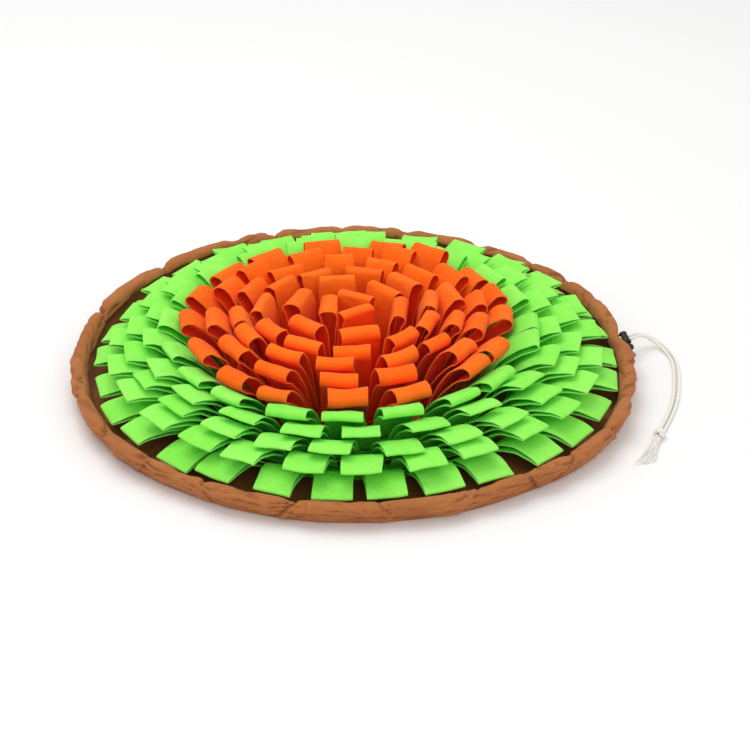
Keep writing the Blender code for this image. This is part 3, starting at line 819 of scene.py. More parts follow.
def pinch_lips(azimuth, height, seed=7):
    """At each pinch one stretch of the tube ends in a lip that lies over the next."""
    pick = random.Random(seed)
    out = 0.0
    for centre, width, thin, step in PINCHES:
        way = pick.choice((-1, 1))
        slant = pick.uniform(*LIP_SLANT) * pick.choice((-1, 1))
        away = np.radians(degrees_apart(azimuth, centre)) * RIM_RADIUS * way
        past = away - slant * (height - 0.5 * SECTION_LENGTH)
        lip = 0.5 + 0.5 * np.tanh(past / LIP_EDGE)
        raised = LIP_RISE * lip * np.exp(-np.maximum(past, 0) / LIP_RUN)
        sunk = LIP_SINK * (1 - lip) * np.exp(np.minimum(past, 0) / LIP_SINK_RUN)
        out = out + thin * (raised - sunk)
    return out


def rim_relief(azimuth, level):
    """How far the gathered cloth stands out from the plain wall, in metres."""
    height = level * SECTION_LENGTH
    out = ripples_and_crumples(azimuth, height)
    add_creases(out, azimuth, height)
    out = out + pinch_lips(azimuth, height)
    near_lock = fade_from(degrees_apart(azimuth, LOCK_AZIMUTH), LOCK_DEGREES, power=4)
    out = out * (1 - CALM_AT_LOCK * near_lock)
    # Beside the loops the cloth may draw back from them, but not press on them.
    inside = np.clip((level - INNER_SIDE) / INNER_BLEND, 0, 1)
    return out * (1 - inside) + np.minimum(out, INNER_MOST) * inside


AROUND = 1500
UP_THE_WALL = 44
wall_azimuths = np.arange(AROUND) / AROUND * 360.0 - 180.0
wall_levels = np.linspace(0, 1, UP_THE_WALL)
rim_folds = rim_relief(wall_azimuths[:, None], wall_levels[None, :])
print("the folds lie between", rim_folds.min().round(4), "and", rim_folds.max().round(4))

# %% [markdown]
# ## The standing wall
#
# The section is bent to the wall's own height at each azimuth, drawn in at the pinches,
# and given its folds. The tube holds the cord, and under it the inner side is single
# cloth, which stands back and lies in shade. At the foot the folds fade out, because
# the channel is sewn down there.

# %% Shape the standing wall
TUBE_OVERHANG = 0.0030
HELD_AT_FOOT = 0.10
HELD_AT_SEAM = 0.16
TUBE_EDGE = 0.845
TUBE_EDGE_BEHIND = 0.145
TUBE_EDGE_UNEVEN = 0.018
UNEVEN_LENGTH = 0.06
BEHIND_PACE = 1.4
HELD_SHAPE = 0.8
EDGE_BLEND = 0.05
EDGE_ENDS = 0.10


def tube_ends(azimuth):
    """The level, on the inner side, where the lit tube gives way to the shaded wall."""
    ring = np.radians(azimuth)
    behind = np.clip(BEHIND_PACE * np.sin(ring), 0, 1)
    uneven = wrinkle_noise(np.cos(ring) * RIM_RADIUS / UNEVEN_LENGTH,
                           np.sin(ring) * RIM_RADIUS / UNEVEN_LENGTH, seed=33)
    return TUBE_EDGE - TUBE_EDGE_BEHIND * behind + TUBE_EDGE_UNEVEN * uneven


def standing_wall(azimuth, level, folds):
    """Radius, height and relief of the gathered wall: a row for each azimuth."""
    radius, height, tight, inward = wall_at(azimuth)
    section = smooth_through([(out, up, 0) for out, up in WALL_SECTION], len(level))
    up = np.clip(section[:, 1], 0, 1)[None, :]
    rise = np.sin(np.pi / 2 * up)
    out = -WALL_CORE + (section[:, 0][None, :] + WALL_CORE) * (1 - tight[:, None] * rise)
    r = radius[:, None] - inward[:, None] * rise + out
    z = height[:, None] * up * (1 - CROWN_DROP * tight[:, None] * up)
    slope_r = np.gradient(r, axis=1)
    slope_z = np.gradient(z, axis=1)
    size = np.maximum(np.hypot(slope_r, slope_z), 1e-9)
    held = np.clip(np.minimum(level / HELD_AT_FOOT, (1 - level) / HELD_AT_SEAM), 0, 1)
    relief = folds * held[None, :] ** HELD_SHAPE
    r = r + slope_z / size * relief
    z = np.maximum(z - slope_r / size * relief, 0.0)
    z[:, 0] = 0.0
    # Below the cord the wall is single cloth, so it stands back under the tube.
    below = np.clip((level[None, :] - tube_ends(azimuth)[:, None]) / EDGE_BLEND, 0, 1)
    below = below * np.clip((1 - level[None, :]) / EDGE_ENDS, 0, 1)
    return r + TUBE_OVERHANG * below * below * (3 - 2 * below), z, relief


wall_r, wall_z, wall_relief = standing_wall(wall_azimuths, wall_levels, rim_folds)
print("the wall stands", wall_z.max(axis=1).min().round(4), "to", wall_z.max().round(4))

# %% [markdown]
# ## The base cloth
#
# The whole base is one piece of cloth, as it would be cut: flat under the loops, and
# turned up at its edge into the wall. Each row of points starts under the mat's middle,
# runs out to the wall's foot, over the wall and back across the floor to the middle
# again. The thread directions are kept in metres, so that the weave has one size
# everywhere, and the painted shade of the grooves, the wall's inner side and the floor
# is stored at the points for the cloth's finish.

# %% Build the base cloth
FROM_THE_RIM = np.array([0.0, 0.02, 0.045, 0.08, 0.12, 0.17, 0.24, 0.34, 0.5, 0.75])
PUCKER = 0.0009
PUCKER_LENGTH = 0.03
PUCKER_REACH = 0.05
PUCKER_STARTS = 0.02
PUCKER_LIFT = 0.8
# Painted shade: the soft edge where it begins on the wall's inner side, its strength there
# and on the floor, and where the grooves' painted shade begins and is full.
INNER_EDGE_BLEND = 0.035
INSIDE_SHADE = 0.94
FLOOR_SHADE = 0.86
GROOVE_FROM = 0.00008
GROOVE_FULL = 0.00050


def flat_cloth(azimuth):
    """Radius and height of the cloth under the loops, slightly puckered at its rim."""
    foot = wall_at(azimuth)[0] + WALL_FOOT_INSIDE
    r = foot[:, None] * (1 - FROM_THE_RIM[None, :])
    gather = wrinkle_noise(np.cos(np.radians(azimuth)) / PUCKER_LENGTH,
                           np.sin(np.radians(azimuth)) / PUCKER_LENGTH,
                           seed=31)[:, None]
    near = np.exp(-FROM_THE_RIM / PUCKER_REACH) * np.minimum(
        FROM_THE_RIM / PUCKER_STARTS, 1)
    return r, CLOTH + PUCKER * (gather + PUCKER_LIFT) * near[None, :]


def grooves(relief, rounds=10):
    """Where the cloth lies deeper than the cloth round it: 0 on folds, 1 in creases."""
    soft = relief
    for smoothing in range(rounds):
        beside = np.roll(soft, 1, axis=0) + np.roll(soft, -1, axis=0)
        over = np.pad(soft, ((0, 0), (1, 1)), mode="edge")
        soft = (2 * soft + beside + over[:, 2:] + over[:, :-2]) / 6
    return np.clip((soft - relief - GROOVE_FROM) / GROOVE_FULL, 0, 1)


def lay_threads(piece, along, up):
    """Give the cloth its thread directions, in metres, as a UV map."""
    layer = piece.data.uv_layers.new(name="threads")
    corners = np.empty(len(piece.data.loops), int)
    piece.data.loops.foreach_get("vertex_index", corners)
    layer.data.foreach_set("uv", np.stack([along[corners], up[corners]], axis=1).ravel())


def base_sheet():
    """The round cloth: flat under the loops, and standing up as the gathered rim."""
    floor_r, floor_z = flat_cloth(wall_azimuths)
    under_r = wall_r[:, :1] * (1 - FROM_THE_RIM[:0:-1])[None, :]
    r = np.concatenate([under_r, wall_r, floor_r], axis=1)
    z = np.concatenate([np.zeros_like(under_r), wall_z, floor_z], axis=1)
    angle = np.radians(wall_azimuths)[:, None]
    x, y = r * np.cos(angle), r * np.sin(angle)
    middles = [tuple(WALL_CENTRE), tuple(WALL_CENTRE + UP * CLOTH)]
    points = np.stack([x, y, z], axis=2).reshape(-1, 3) + middles[0]
    base = new_piece("base_sheet", np.concatenate([points, middles]),
                     spun_faces(AROUND, r.shape[1]), brown_cloth)

    # The threads lie square across the flat cloth, and follow the wall round and up.
    on_wall = slice(under_r.shape[1], under_r.shape[1] + UP_THE_WALL)
    along, up = x.copy(), y.copy()
    along[:, on_wall] = angle * RIM_RADIUS
    up[:, on_wall] = np.cumsum(np.hypot(np.gradient(wall_r, axis=1),
                                        np.gradient(wall_z, axis=1)), axis=1)
    lay_threads(base, np.append(along, [0, 0]), np.append(up, [0, 0]))
    # Painted shade on the wall's inner side below the tube, and on the floor under the
    # loops.
    inner = np.zeros_like(r)
    past_edge = wall_levels[None, :] - tube_ends(wall_azimuths)[:, None]
    inner[:, on_wall] = np.clip(past_edge / INNER_EDGE_BLEND, 0, 1)
    inner[:, on_wall.stop:] = FLOOR_SHADE
    add_point_values(base, "painted_inner_shade", INSIDE_SHADE * np.append(inner, [0, FLOOR_SHADE]))
    # Painted shade in the creases of the wall.
    shade = np.zeros_like(r)
    shade[:, on_wall] = grooves(wall_relief)
    add_point_values(base, "groove", np.append(shade, [0, 0]))
    return base


base = base_sheet()
print("base", len(base.data.polygons), "faces")

# %% [markdown]
# ## The felt loops
#
# Each loop is one strip of felt, about 150 by 32.5 mm, folded in half with both ends in
# the seam. The outer green rings lie flat like shingles, and the orange ones stand
# rounder and steeper towards the middle. A row of the first table gives one ring, so
# 186 loops need only eleven rows. A second table holds the few loops that stand apart
# from their ring in the photograph. Both are those of the solids, so every loop stands
# where its solid does. Four tips are then lifted by up to two millimetres, so that
# they lie on the loop below and not in it.

# %% The rings
FELT = 0.0012
STRIP_WIDTH = 0.0325
RINGS = (
    # name, felt, fold, count, first, root radius, tip radius, tip height, rise, lean,
    # eye, east
    ("green_ring_1", "green", "flat", 30, -95.5, 0.1700, 0.2320, 0.0180, 52, -15,
     0.0056, 0.004),
    ("green_ring_2", "green", "flat", 27, -87.4, 0.1565, 0.2175, 0.0370, 58, -4,
     0.0058, 0.003),
    ("green_ring_3", "green", "flat", 24, -79.0, 0.1430, 0.2015, 0.0448, 62, 3,
     0.0060, 0.001),
    ("green_ring_4", "green", "flat", 21, -86.2, 0.1295, 0.1845, 0.0512, 64, 7,
     0.0062, -0.001),
    ("green_ring_5", "green", "open", 20, -90.5, 0.1145, 0.1660, 0.0555, 66, 12,
     0.0078, -0.003),
    ("orange_ring_1", "orange", "open", 17, -89.3, 0.0990, 0.1462, 0.0615, 68, 16,
     0.0136, -0.005),
    ("orange_ring_2", "orange", "open", 14, -93.2, 0.0830, 0.1234, 0.0665, 72, 18,
     0.0136, -0.005),
    ("orange_ring_3", "orange", "open", 13, -94.6, 0.0700, 0.1010, 0.0690, 76, 22,
     0.0134, -0.005),
    ("orange_ring_4", "orange", "open", 11, -85.4, 0.0590, 0.0780, 0.0710, 81, 30,
     0.0134, -0.005),
    ("orange_ring_5", "orange", "open", 6, -75.9, 0.0350, 0.0500, 0.0730, 84, 42,
     0.0144, -0.005),
    ("orange_ring_6", "orange", "open", 3, -60.0, 0.0125, 0.0172, 0.0745, 87, 66,
     0.0136, -0.005),
)
STRAY_LOOPS = {
    # ring, then by loop: round, turn, out, up
    "orange_ring_1": {2: (4.8, 3, 0.0, 0.0), 3: (1.7, -4, 0.002, 0.0),
                      4: (5.0, 2, 0.0, 0.001), 6: (-4.0, -3, 0.0, 0.0),
                      7: (-3.0, 5, -0.001, 0.005), 8: (-4.0, -2, 0.0, 0.0),
                      13: (-5.0, 4, 0.0, 0.0), 16: (-4.0, 2, 0.0, -0.002)},
    "orange_ring_2": {2: (6.0, 5, 0.0, 0.0), 3: (5.0, -4, 0.0, 0.0),
                      6: (5.0, 4, 0.0, 0.003), 8: (-4.0, 0, 0.0, 0.0),
                      10: (-6.0, -6, 0.0, 0.0)},
    "orange_ring_3": {1: (3.8, 5, 0.0, 0.0), 2: (5.0, -6, 0.0, 0.0),
                      7: (-5.0, 6, 0.002, 0.0), 10: (3.0, 9, 0.0, -0.002)},
    "orange_ring_4": {1: (2.0, 12, 0.0, 0.0), 3: (0.0, -13, 0.0, 0.001),
                      6: (2.0, 10, 0.0, -0.002), 8: (0.0, -12, 0.001, 0.0)},
    "orange_ring_5": {1: (4.0, 14, 0.0, 0.0), 3: (0.0, -12, 0.0, 0.002)},
    "green_ring_5": {4: (3.0, 8, 0.002, 0.0)},
    "green_ring_4": {3: (2.0, -7, 0.0, 0.002)},
    "green_ring_3": {11: (2.0, 8, 0.002, 0.0)},
    "green_ring_2": {16: (1.0, -6, 0.003, 0.002)},
}
IN_LINE = (0.0, 0.0, 0.0, 0.0)
LIFTED_TIPS = {
    # ring and loop: how far its tip is lifted to lie on the loop below, not in it
    ("green_ring_5", 15): 0.0018, ("green_ring_5", 18): 0.0005,
    ("orange_ring_1", 1): 0.0006, ("orange_ring_3", 1): 0.0013,
}
TIP_TO_WALL = 0.0130
BESIDE = 0.0018
TURN_SPREAD = 5.0
OUT_SPREAD = 0.0018
UP_SPREAD = 0.0015
EYE_SPREAD = 0.16
SEAM_HEIGHT = 0.0022
print("loops", sum(row[3] for row in RINGS))

# %% [markdown]
# ## A loop from the side
#
# A folded strip rises from its seam, bends outwards under its own weight and is rounded
# at the fold. Cloth simulation could find that form, but it is hard to steer. Here the
# middle line of the loop is a simple curve with two end directions, and the two layers
# lie either side of it, further apart towards the fold, as in a long drop.

# %% One folded strip
LEG_STEPS = 17
FOLD_STEPS = 11
TOUCHING = 0.55 * FELT
CREASED_OPEN = 0.0002
FOLD_MOST = 0.30
FOLD_ROOM = 1.1
LEG_PACE = 1.25
FIRST_SHARE = 0.55
LAST_SHARE = 0.75
DROP_SHAPE = 1.4
SWELL_PACE = 1.15
SWELL_SHAPE = 0.8
CLOSING_SHAPE = 6


def bend_point(reach, tip_rise, rise, lean):
    """Where the loop's two end directions meet: the corner that its curve rounds."""
    steep = math.tan(math.radians(rise))
    flat = math.tan(math.radians(lean))
    out = (tip_rise - reach * flat) / (steep - flat)
    return np.array([out, out * steep])


def leg_gap(way_there, fold, most, tip_half):
    """Half of the way between the layers: a drop when open, closed up when creased."""
    if fold == "open":
        return TOUCHING + (most - TOUCHING) * np.sin(np.pi / 2 * way_there) ** DROP_SHAPE
    swell = np.sin(np.pi * way_there ** SWELL_PACE) ** SWELL_SHAPE
    closing = way_there ** CLOSING_SHAPE
    return TOUCHING + (most - TOUCHING) * swell + (tip_half - TOUCHING) * closing


def folded_line(bend, tip, eye, fold, belly):
    """The strip's middle layer, from the seam round the fold and back to the seam.

    Returns points (out, up), their outward directions, the way in which both layers
    move together, and the share of the way along the loop, which is 0 at the seam and 1
    at the fold. An open fold is a round drop. A flat one is creased, so its layers part
    half way and meet again at the tip.
    """
    most = eye / 2 - FELT / 2
    tip_half = most if fold == "open" else TOUCHING + CREASED_OPEN
    # The curve cuts the corner, so it counts only a share of each straight stretch.
    length = np.linalg.norm(bend) * FIRST_SHARE + np.linalg.norm(tip - bend) * LAST_SHARE
    turn_at = 1.0 - min(FOLD_MOST, FOLD_ROOM * tip_half / length)

    def centre(share):
        share = np.asarray(share, float)[..., None]
        place = 2 * share * (1 - share) * bend + share ** 2 * tip
        along = unit(2 * (1 - share) * bend + 2 * share * (tip - bend))
        return place, along, np.stack([-along[..., 1], along[..., 0]], axis=-1)

    way_there = 1 - (1 - np.linspace(0, 1, LEG_STEPS)) ** LEG_PACE
    legs = turn_at * way_there
    apart = leg_gap(way_there, fold, most, tip_half)
    place, along, normal = centre(legs)
    upper = place + normal * (apart * (1 + belly))[:, None]
    lower = place - normal * (apart * (1 - belly))[:, None]
    middle, way, square = centre(turn_at)
    middle = middle + square * tip_half * belly
    to_end = centre(1.0)[0] - middle
    angles = np.linspace(0.5, -0.5, FOLD_STEPS + 2)[1:-1] * math.pi
    cap = (middle + way * float(to_end @ way) * np.cos(angles)[:, None]
           + square * (tip_half * np.sin(angles)
                       + (to_end @ square) * np.cos(angles))[:, None])
    line = np.concatenate([upper, cap, lower[::-1]])
    run = unit(np.gradient(line, axis=0))
    outward = np.stack([-run[:, 1], run[:, 0]], axis=1)
    together = np.concatenate([normal, np.repeat(square[None, :], FOLD_STEPS, axis=0),
                               normal[::-1]])
    share = np.concatenate([legs, np.ones(FOLD_STEPS), legs[::-1]])
    return line, outward, together, share


print("points along one strip", 2 * LEG_STEPS + FOLD_STEPS)

# %% [markdown]
# ## A strip of felt
#
# Widened across, the line becomes a strip with a real thickness and slightly thinner
# cut edges. A strip cut and folded by hand is never quite even. Displacing it with a
# texture would look alike everywhere, so each strip is skewed, twisted, cupped, waved
# and cut a little wider or narrower by amounts of its own. The order of these draws is
# fixed, so the mat comes out the same every time.

# %% Widen the line into a strip
ACROSS = np.array([-0.5, -0.486, -0.36, -0.18, 0.0, 0.18, 0.36, 0.486, 0.5])
EDGE_THIN = np.array([0.62, 1.0, 1.0, 1.0, 1.0, 1.0, 1.0, 1.0, 0.62])
LAST_COLUMN = len(ACROSS) - 1
EDGE_COLUMNS = [0, LAST_COLUMN, LAST_COLUMN + 1, 2 * LAST_COLUMN + 1]
# Painted shade on the outer layer: along the lower leg, and fading up from the foot.
UNDERSIDE_SHADE = 0.75
LEG_FOOT_SHADE = 0.85
FOOT_OVER_CLOTH = 0.0001
SKEW_SPREAD = 0.0016
TWIST_SPREAD = 3.2
SLANT_SPREAD = 0.05
WIDTH_SPREAD = 0.05
CURL_SPREAD = 0.0007
CUP_RANGE = (-0.0006, 0.0011)
EDGE_RIPPLE = 0.0003
EDGE_PACE = 9
EDGE_STARTS = 0.4
LONG_WAVE = 0.00035
LONG_PACE = 10.7
SHORT_WAVE = 0.00022
SHORT_PACE = 23


def felt_strip(line, outward, together, share, room, pick):
    """Points of one closed strip: rows along the loop, once round its section."""
    count = len(line)
    way = np.linspace(-1, 1, count)[:, None]
    skew = pick.uniform(-SKEW_SPREAD, SKEW_SPREAD)
    twist = math.radians(pick.uniform(-TWIST_SPREAD, TWIST_SPREAD))
    cup = pick.uniform(*CUP_RANGE)
    slant = pick.uniform(-SLANT_SPREAD, SLANT_SPREAD)
    width = min(STRIP_WIDTH * pick.uniform(1 - WIDTH_SPREAD, 1 + WIDTH_SPREAD), room)
    ripple = pick.uniform(0, 6.28)
    curl = pick.uniform(-CURL_SPREAD, CURL_SPREAD)
    s = share[:, None]
    v = ACROSS[None, :]
    roll = twist * s ** 1.3
    side = v * width * np.cos(roll) + skew * way * np.abs(way)
    at_edge = np.sign(v) * (np.abs(v) > EDGE_STARTS)
    side = side + EDGE_RIPPLE * np.sin(EDGE_PACE * s + ripple) * at_edge
    lift = v * width * np.sin(roll)
    bulge = (cup * (4 * v ** 2 - 0.4) * s + curl * 4 * v ** 3 * s ** 2
             + LONG_WAVE * np.sin(LONG_PACE * s + ripple + 5 * v)
             + SHORT_WAVE * np.sin(SHORT_PACE * s - 9 * v + 2 * ripple))
    centre_out = line[:, 0][:, None] + slant * v * width * s ** 2
    centre_up = line[:, 1][:, None] + lift
    rows = []
    for layer in (1, -1):
        thick = layer * FELT / 2 * EDGE_THIN[None, :]
        x = centre_out + outward[:, 0][:, None] * thick + together[:, 0][:, None] * bulge
        z = centre_up + outward[:, 1][:, None] * thick + together[:, 1][:, None] * bulge
        # The foot is sewn down, so it lies on the cloth and not in it.
        z = np.maximum(z, CLOTH + FOOT_OVER_CLOTH - SEAM_HEIGHT)
        rows.append(np.stack([x, side, z], axis=2))
    ring = np.concatenate([rows[0], rows[1][:, ::-1]], axis=1)
    # The cut edges, which the felt's finish paints paler as a highlight on their loose
    # fibres.
    edge = np.zeros(ring.shape[:2])
    edge[:, EDGE_COLUMNS] = 1.0
    # Painted shade: the whole inner layer, and the outer layer along its lower leg and near
    # its foot.
    under = UNDERSIDE_SHADE * np.clip(4 * way, 0, 1)
    outside = np.maximum(LEG_FOOT_SHADE * (1 - s) ** 1.5, under)
    shaded = np.concatenate([np.repeat(outside, len(ACROSS), axis=1),
                             np.ones((count, len(ACROSS)))], axis=1)
    return ring, edge, shaded


def add_strip(strip, place, tone, points, faces, looks):
    """Add one strip to the lists of its ring's mesh."""
    ring, edge, shaded = strip
    rows, round_it = ring.shape[:2]
    first = sum(len(part) for part in points)
    points.append(ring.reshape(-1, 3) @ np.array(place.to_3x3()).T
                  + np.array(place.translation))
    looks["cut_edge_highlight"].append(edge.reshape(-1))
    looks["painted_loop_shade"].append(shaded.reshape(-1))
    looks["loop_tone"].append(np.full(rows * round_it, tone))
    faces += grid_faces(rows, round_it, first, wrap_columns=True)
    last = first + (rows - 1) * round_it
    for k in range(round_it // 2 - 1):
        other = round_it - 1 - k
        faces.append((first + k, first + k + 1, first + other - 1, first + other))
        faces.append((last + k + 1, last + k, last + other, last + other - 1))


print("points round one strip", 2 * len(ACROSS))

# %% [markdown]
# ## Where each loop sits
#
# A sewer sets the loops side by side round the seam, and each settles against its
# neighbours. The same is worked out here. Every loop gets a seat, a turn and a reach
# with small differences, a loop that would press on the wall is drawn back, and a loop
# that would cross the one beside it is cut narrower.

# %% Seat the loops
FACING_LEAST = 0.3


def polar(radius, degrees, height=0.0):
    """A point given by its radius, its azimuth in degrees and its height."""
    angle = math.radians(degrees)
    return Vector((radius * math.cos(angle), radius * math.sin(angle), height))


def reach_inside_wall(root, azimuth, reach):
    """How far out a loop's tip may be before it would press on the wall."""
    tip = (root + polar(reach, azimuth)).to_2d()
    radius, _, _, inward = wall_at(math.degrees(math.atan2(tip.y, tip.x)))
    return reach - max(0.0, tip.length - (float(radius[0] - inward[0]) - TIP_TO_WALL))


def room_beside(seats, ways, reaches, openings):
    """The widest that each loop can be without crossing the loops beside it.

    Both are looked at from above, at the seam and at either side of their tips. Each of
    the two gets half of what lies between them there, less a small gap.
    """
    room = [STRIP_WIDTH * 2] * len(seats)
    for i, seat in enumerate(seats):
        j = (i + 1) % len(seats)
        for share, side in ((0.0, 0.0), (1.0, -0.5), (1.0, 0.5)):
            here = seat + ways[i] * (reaches[i] * share + openings[i] * side)
            there = seats[j] + ways[j] * (reaches[j] * share + openings[j] * side)
            between = (there - here).normalized()
            facing = (ways[i].cross(between).z + ways[j].cross(between).z) / 2
            if facing > FACING_LEAST:
                width = ((there - here).length - BESIDE) / facing
                room[i] = min(room[i], width)
                room[j] = min(room[j], width)
    return room


apart = sum(len(loops) for loops in STRAY_LOOPS.values())
print("loops set apart by hand", apart, "and tips lifted", len(LIFTED_TIPS))

# %% [markdown]
# ## A ring of loops
#
# The loops of a ring are sewn along one narrow seam strip, so together they are one
# piece. Each strip is turned to its own azimuth and moved to its seat. Separate objects
# would be slower to handle and would show nothing more.

# %% Sew the rings
SEAM_STEPS = 180
# The seam strip's corners: out from its middle, and up from the floor.
SEAM_SECTION = ((-0.0035, 0.0018), (-0.0034, 0.0032), (0.0034, 0.0032), (0.0035, 0.0018))
BELLY_RANGE = (-0.06, 0.12)
TONE_RANGE = (0.35, 1.0)
# The seam strip has no cut-edge highlight and, lying under the loops, painted shade of 0.8.
SEAM_LOOKS = {"cut_edge_highlight": 0.0, "painted_loop_shade": 0.8, "loop_tone": 0.3}


def seam_strip(radius, middle, points, faces, looks):
    """The narrow felt band that the ring's loops are sewn along."""
    ring = [polar(radius + out, 360 * step / SEAM_STEPS, up) + middle
            for step in range(SEAM_STEPS) for out, up in SEAM_SECTION]
    first = sum(len(part) for part in points)
    points.append(np.array(ring))
    for look, value in SEAM_LOOKS.items():
        looks[look].append(np.full(len(ring), value))
    faces += [face[::-1] for face in grid_faces(SEAM_STEPS, len(SEAM_SECTION), first,
                                                wrap_rows=True, wrap_columns=True)]


def felt_ring(row, seed):
    """All the loops of one ring, with their seam strip, as one mesh."""
    name, colour, fold, count, first, root, tip, tip_height, rise, lean, eye, east = row
    middle = Vector((east, 0.0, 0.0))
    draw = random.Random(seed)
    own = random.Random(seed + 100)
    points, faces = [], []
    seats, turns, reaches, heights, openings = [], [], [], [], []
    for i in range(count):
        around, turn, out, up = STRAY_LOOPS.get(name, {}).get(i, IN_LINE)
        up += LIFTED_TIPS.get((name, i), 0.0)
        turn += draw.uniform(-TURN_SPREAD, TURN_SPREAD)
        azimuth = first + 360.0 * i / count + around
        seat = middle + polar(root, azimuth, SEAM_HEIGHT)
        reach = tip - root + out + draw.uniform(-OUT_SPREAD, OUT_SPREAD)
        seats.append(seat)
        turns.append(azimuth + turn)
        reaches.append(reach_inside_wall(seat, azimuth + turn, reach))
        heights.append(up + tip_height - SEAM_HEIGHT + draw.uniform(-UP_SPREAD, UP_SPREAD))
        openings.append(eye * (1.0 + draw.uniform(-EYE_SPREAD, EYE_SPREAD)))
    rooms = room_beside(seats, [polar(1.0, turn) for turn in turns], reaches, openings)
    looks = {look: [] for look in SEAM_LOOKS}
    for seat, turn, reach, up, opening, room in zip(seats, turns, reaches, heights,
                                                    openings, rooms):
        bend = bend_point(reach, up, rise, lean)
        belly = own.uniform(*BELLY_RANGE)
        side_view = folded_line(bend, np.array([reach, up]), opening, fold, belly)
        strip = felt_strip(*side_view, room, own)
        place = (Matrix.Translation(seat + WALL_CENTRE)
                 @ Matrix.Rotation(math.radians(turn), 4, "Z"))
        add_strip(strip, place, own.uniform(*TONE_RANGE), points, faces, looks)
    seam_strip(root, middle + WALL_CENTRE, points, faces, looks)
    material = green_felt if colour == "green" else orange_felt
    piece = new_piece("felt_" + name, np.concatenate(points), faces, material)
    for look, values in looks.items():
        add_point_values(piece, look, np.concatenate(values))
    return piece


felt_rings = {row[0]: felt_ring(row, seed) for seed, row in enumerate(RINGS)}
for name, piece in felt_rings.items():
    print(name, len(piece.data.polygons), "faces")

# %% [markdown]
# ## Turned parts
#
# The cord lock's barrel and button are round, so each is a profile that is spun round
# the lock's axis. A cylinder with a bevel would be quicker, but a profile gives the
# waist, the bore and the hollow head as well. Small arcs round its corners, as a mould
# would, and ribs for the fingers are pressed into one stretch of it.

# %% Turn round parts
RIBBED_OUTSIDE = 0.003
SHARP_ANGLE = 38
ARC_MOST = 0.45


def turned(name, profile, centre, axis, material, ribs, sides=56):
    """Spin a profile of (radius, distance) rows round an axis, and press ribs into it."""
    turn = np.array(UP.rotation_difference(axis).to_matrix())
    rows = np.array(profile)
    angle = np.arange(sides) / sides * 2 * math.pi
    number, depth, low, high = ribs
    ribbed = (rows[:, 1] > low) & (rows[:, 1] < high) & (rows[:, 0] > RIBBED_OUTSIDE)
    dip = depth * (0.5 - 0.5 * np.cos(number * angle)) ** 2
    radius = rows[:, 0][None, :] - ribbed[None, :] * dip[:, None]
    local = np.stack([radius * np.cos(angle)[:, None], radius * np.sin(angle)[:, None],
                      np.repeat(rows[:, 1][None, :], sides, axis=0)], axis=2)
    points = local.reshape(-1, 3) @ turn.T + np.array(centre)
    ends = [tuple(centre + axis * rows[0, 1]), tuple(centre + axis * rows[-1, 1])]
    piece = new_piece(name, np.concatenate([points, ends]), spun_faces(sides, len(rows)),
                      material)
    piece.data.set_sharp_from_angle(angle=math.radians(SHARP_ANGLE))
    return piece


def rounded(rows, radius, steps=4):
    """Replace each inner corner of a profile with a small arc."""
    out = [rows[0]]
    for before, here, after in zip(rows, rows[1:], rows[2:]):
        a, b, c = (np.array(point) for point in (before, here, after))
        cut = min(radius, ARC_MOST * np.linalg.norm(a - b),
                  ARC_MOST * np.linalg.norm(c - b))
        back, on = unit(a - b) * cut, unit(c - b) * cut
        for step in range(steps + 1):
            t = step / steps
            out.append(tuple((1 - t) ** 2 * (b + back) + 2 * t * (1 - t) * b
                             + t ** 2 * (b + on)))
    out.append(rows[-1])
    return out


corner = rounded([(0.0, 0.0), (1.0, 0.0), (1.0, 1.0)], 0.3)
print("a corner is rounded with", len(corner) - 2, "points")

# %% [markdown]
# ## The cord lock
#
# A spring lock is a small barrel with a cross hole for the cord and a button that slides
# in it. Pressing the button lines up its own hole with the barrel's, and the cord runs
# free. Both are round, so both are turned. They could be one piece if nothing moved,
# but the button slides, so it is a piece of its own.

# %% Turn the barrel and the button
LOCK_HALF = 0.0062
BORE_RADIUS = 0.0028
BORE_DEPTH = 0.0106
AT_AXIS = 0.0001
SMALL_CORNER = 0.0003
FOOT_RADIUS = 0.0031
FOOT_TALL = 0.0010
WAIST = LOCK_RADIUS - 0.00035
WAIST_HALF = 0.0037
WAIST_ENDS = 0.0040
TOP_CORNER = 0.0004
# Ribs: how many, how deep, and from where to where along the axis.
BARREL_RIBS = (14, 0.00030, 0.0041, 0.0058)

barrel_profile = rounded([
    (AT_AXIS, -LOCK_HALF), (FOOT_RADIUS, -LOCK_HALF), (LOCK_RADIUS, -LOCK_HALF + FOOT_TALL),
    (LOCK_RADIUS, -WAIST_ENDS), (WAIST, -WAIST_HALF),
    (WAIST, WAIST_HALF), (LOCK_RADIUS, WAIST_ENDS),
    (LOCK_RADIUS, LOCK_HALF - TOP_CORNER), (LOCK_RADIUS - TOP_CORNER, LOCK_HALF),
    (BORE_RADIUS + SMALL_CORNER, LOCK_HALF), (BORE_RADIUS, LOCK_HALF - SMALL_CORNER),
    (BORE_RADIUS, LOCK_HALF - BORE_DEPTH), (AT_AXIS, LOCK_HALF - BORE_DEPTH)], SMALL_CORNER)
barrel = turned("lock_barrel", barrel_profile, LOCK_CENTRE, LOCK_AXIS, black_plastic,
                BARREL_RIBS)

HOLE_WIDE = 0.0035
TRAVEL = 0.0030
HEAD = LOCK_HALF + 0.0034
HEAD_TOP = HEAD + 0.0034
HEAD_RADIUS = 0.0036
HEAD_SIDE = HEAD + 0.0028
RING_OUTSIDE = 0.0029
RING_INSIDE = 0.0019
HOLLOW = 0.0015
HOLLOW_FLOOR = HEAD + 0.0031
STEM = BORE_RADIUS - 0.0003
STEM_END = TRAVEL - HOLE_WIDE - 0.0006
HEAD_RIBS = (18, 0.00028, HEAD + 0.0004, HEAD + 0.0026)

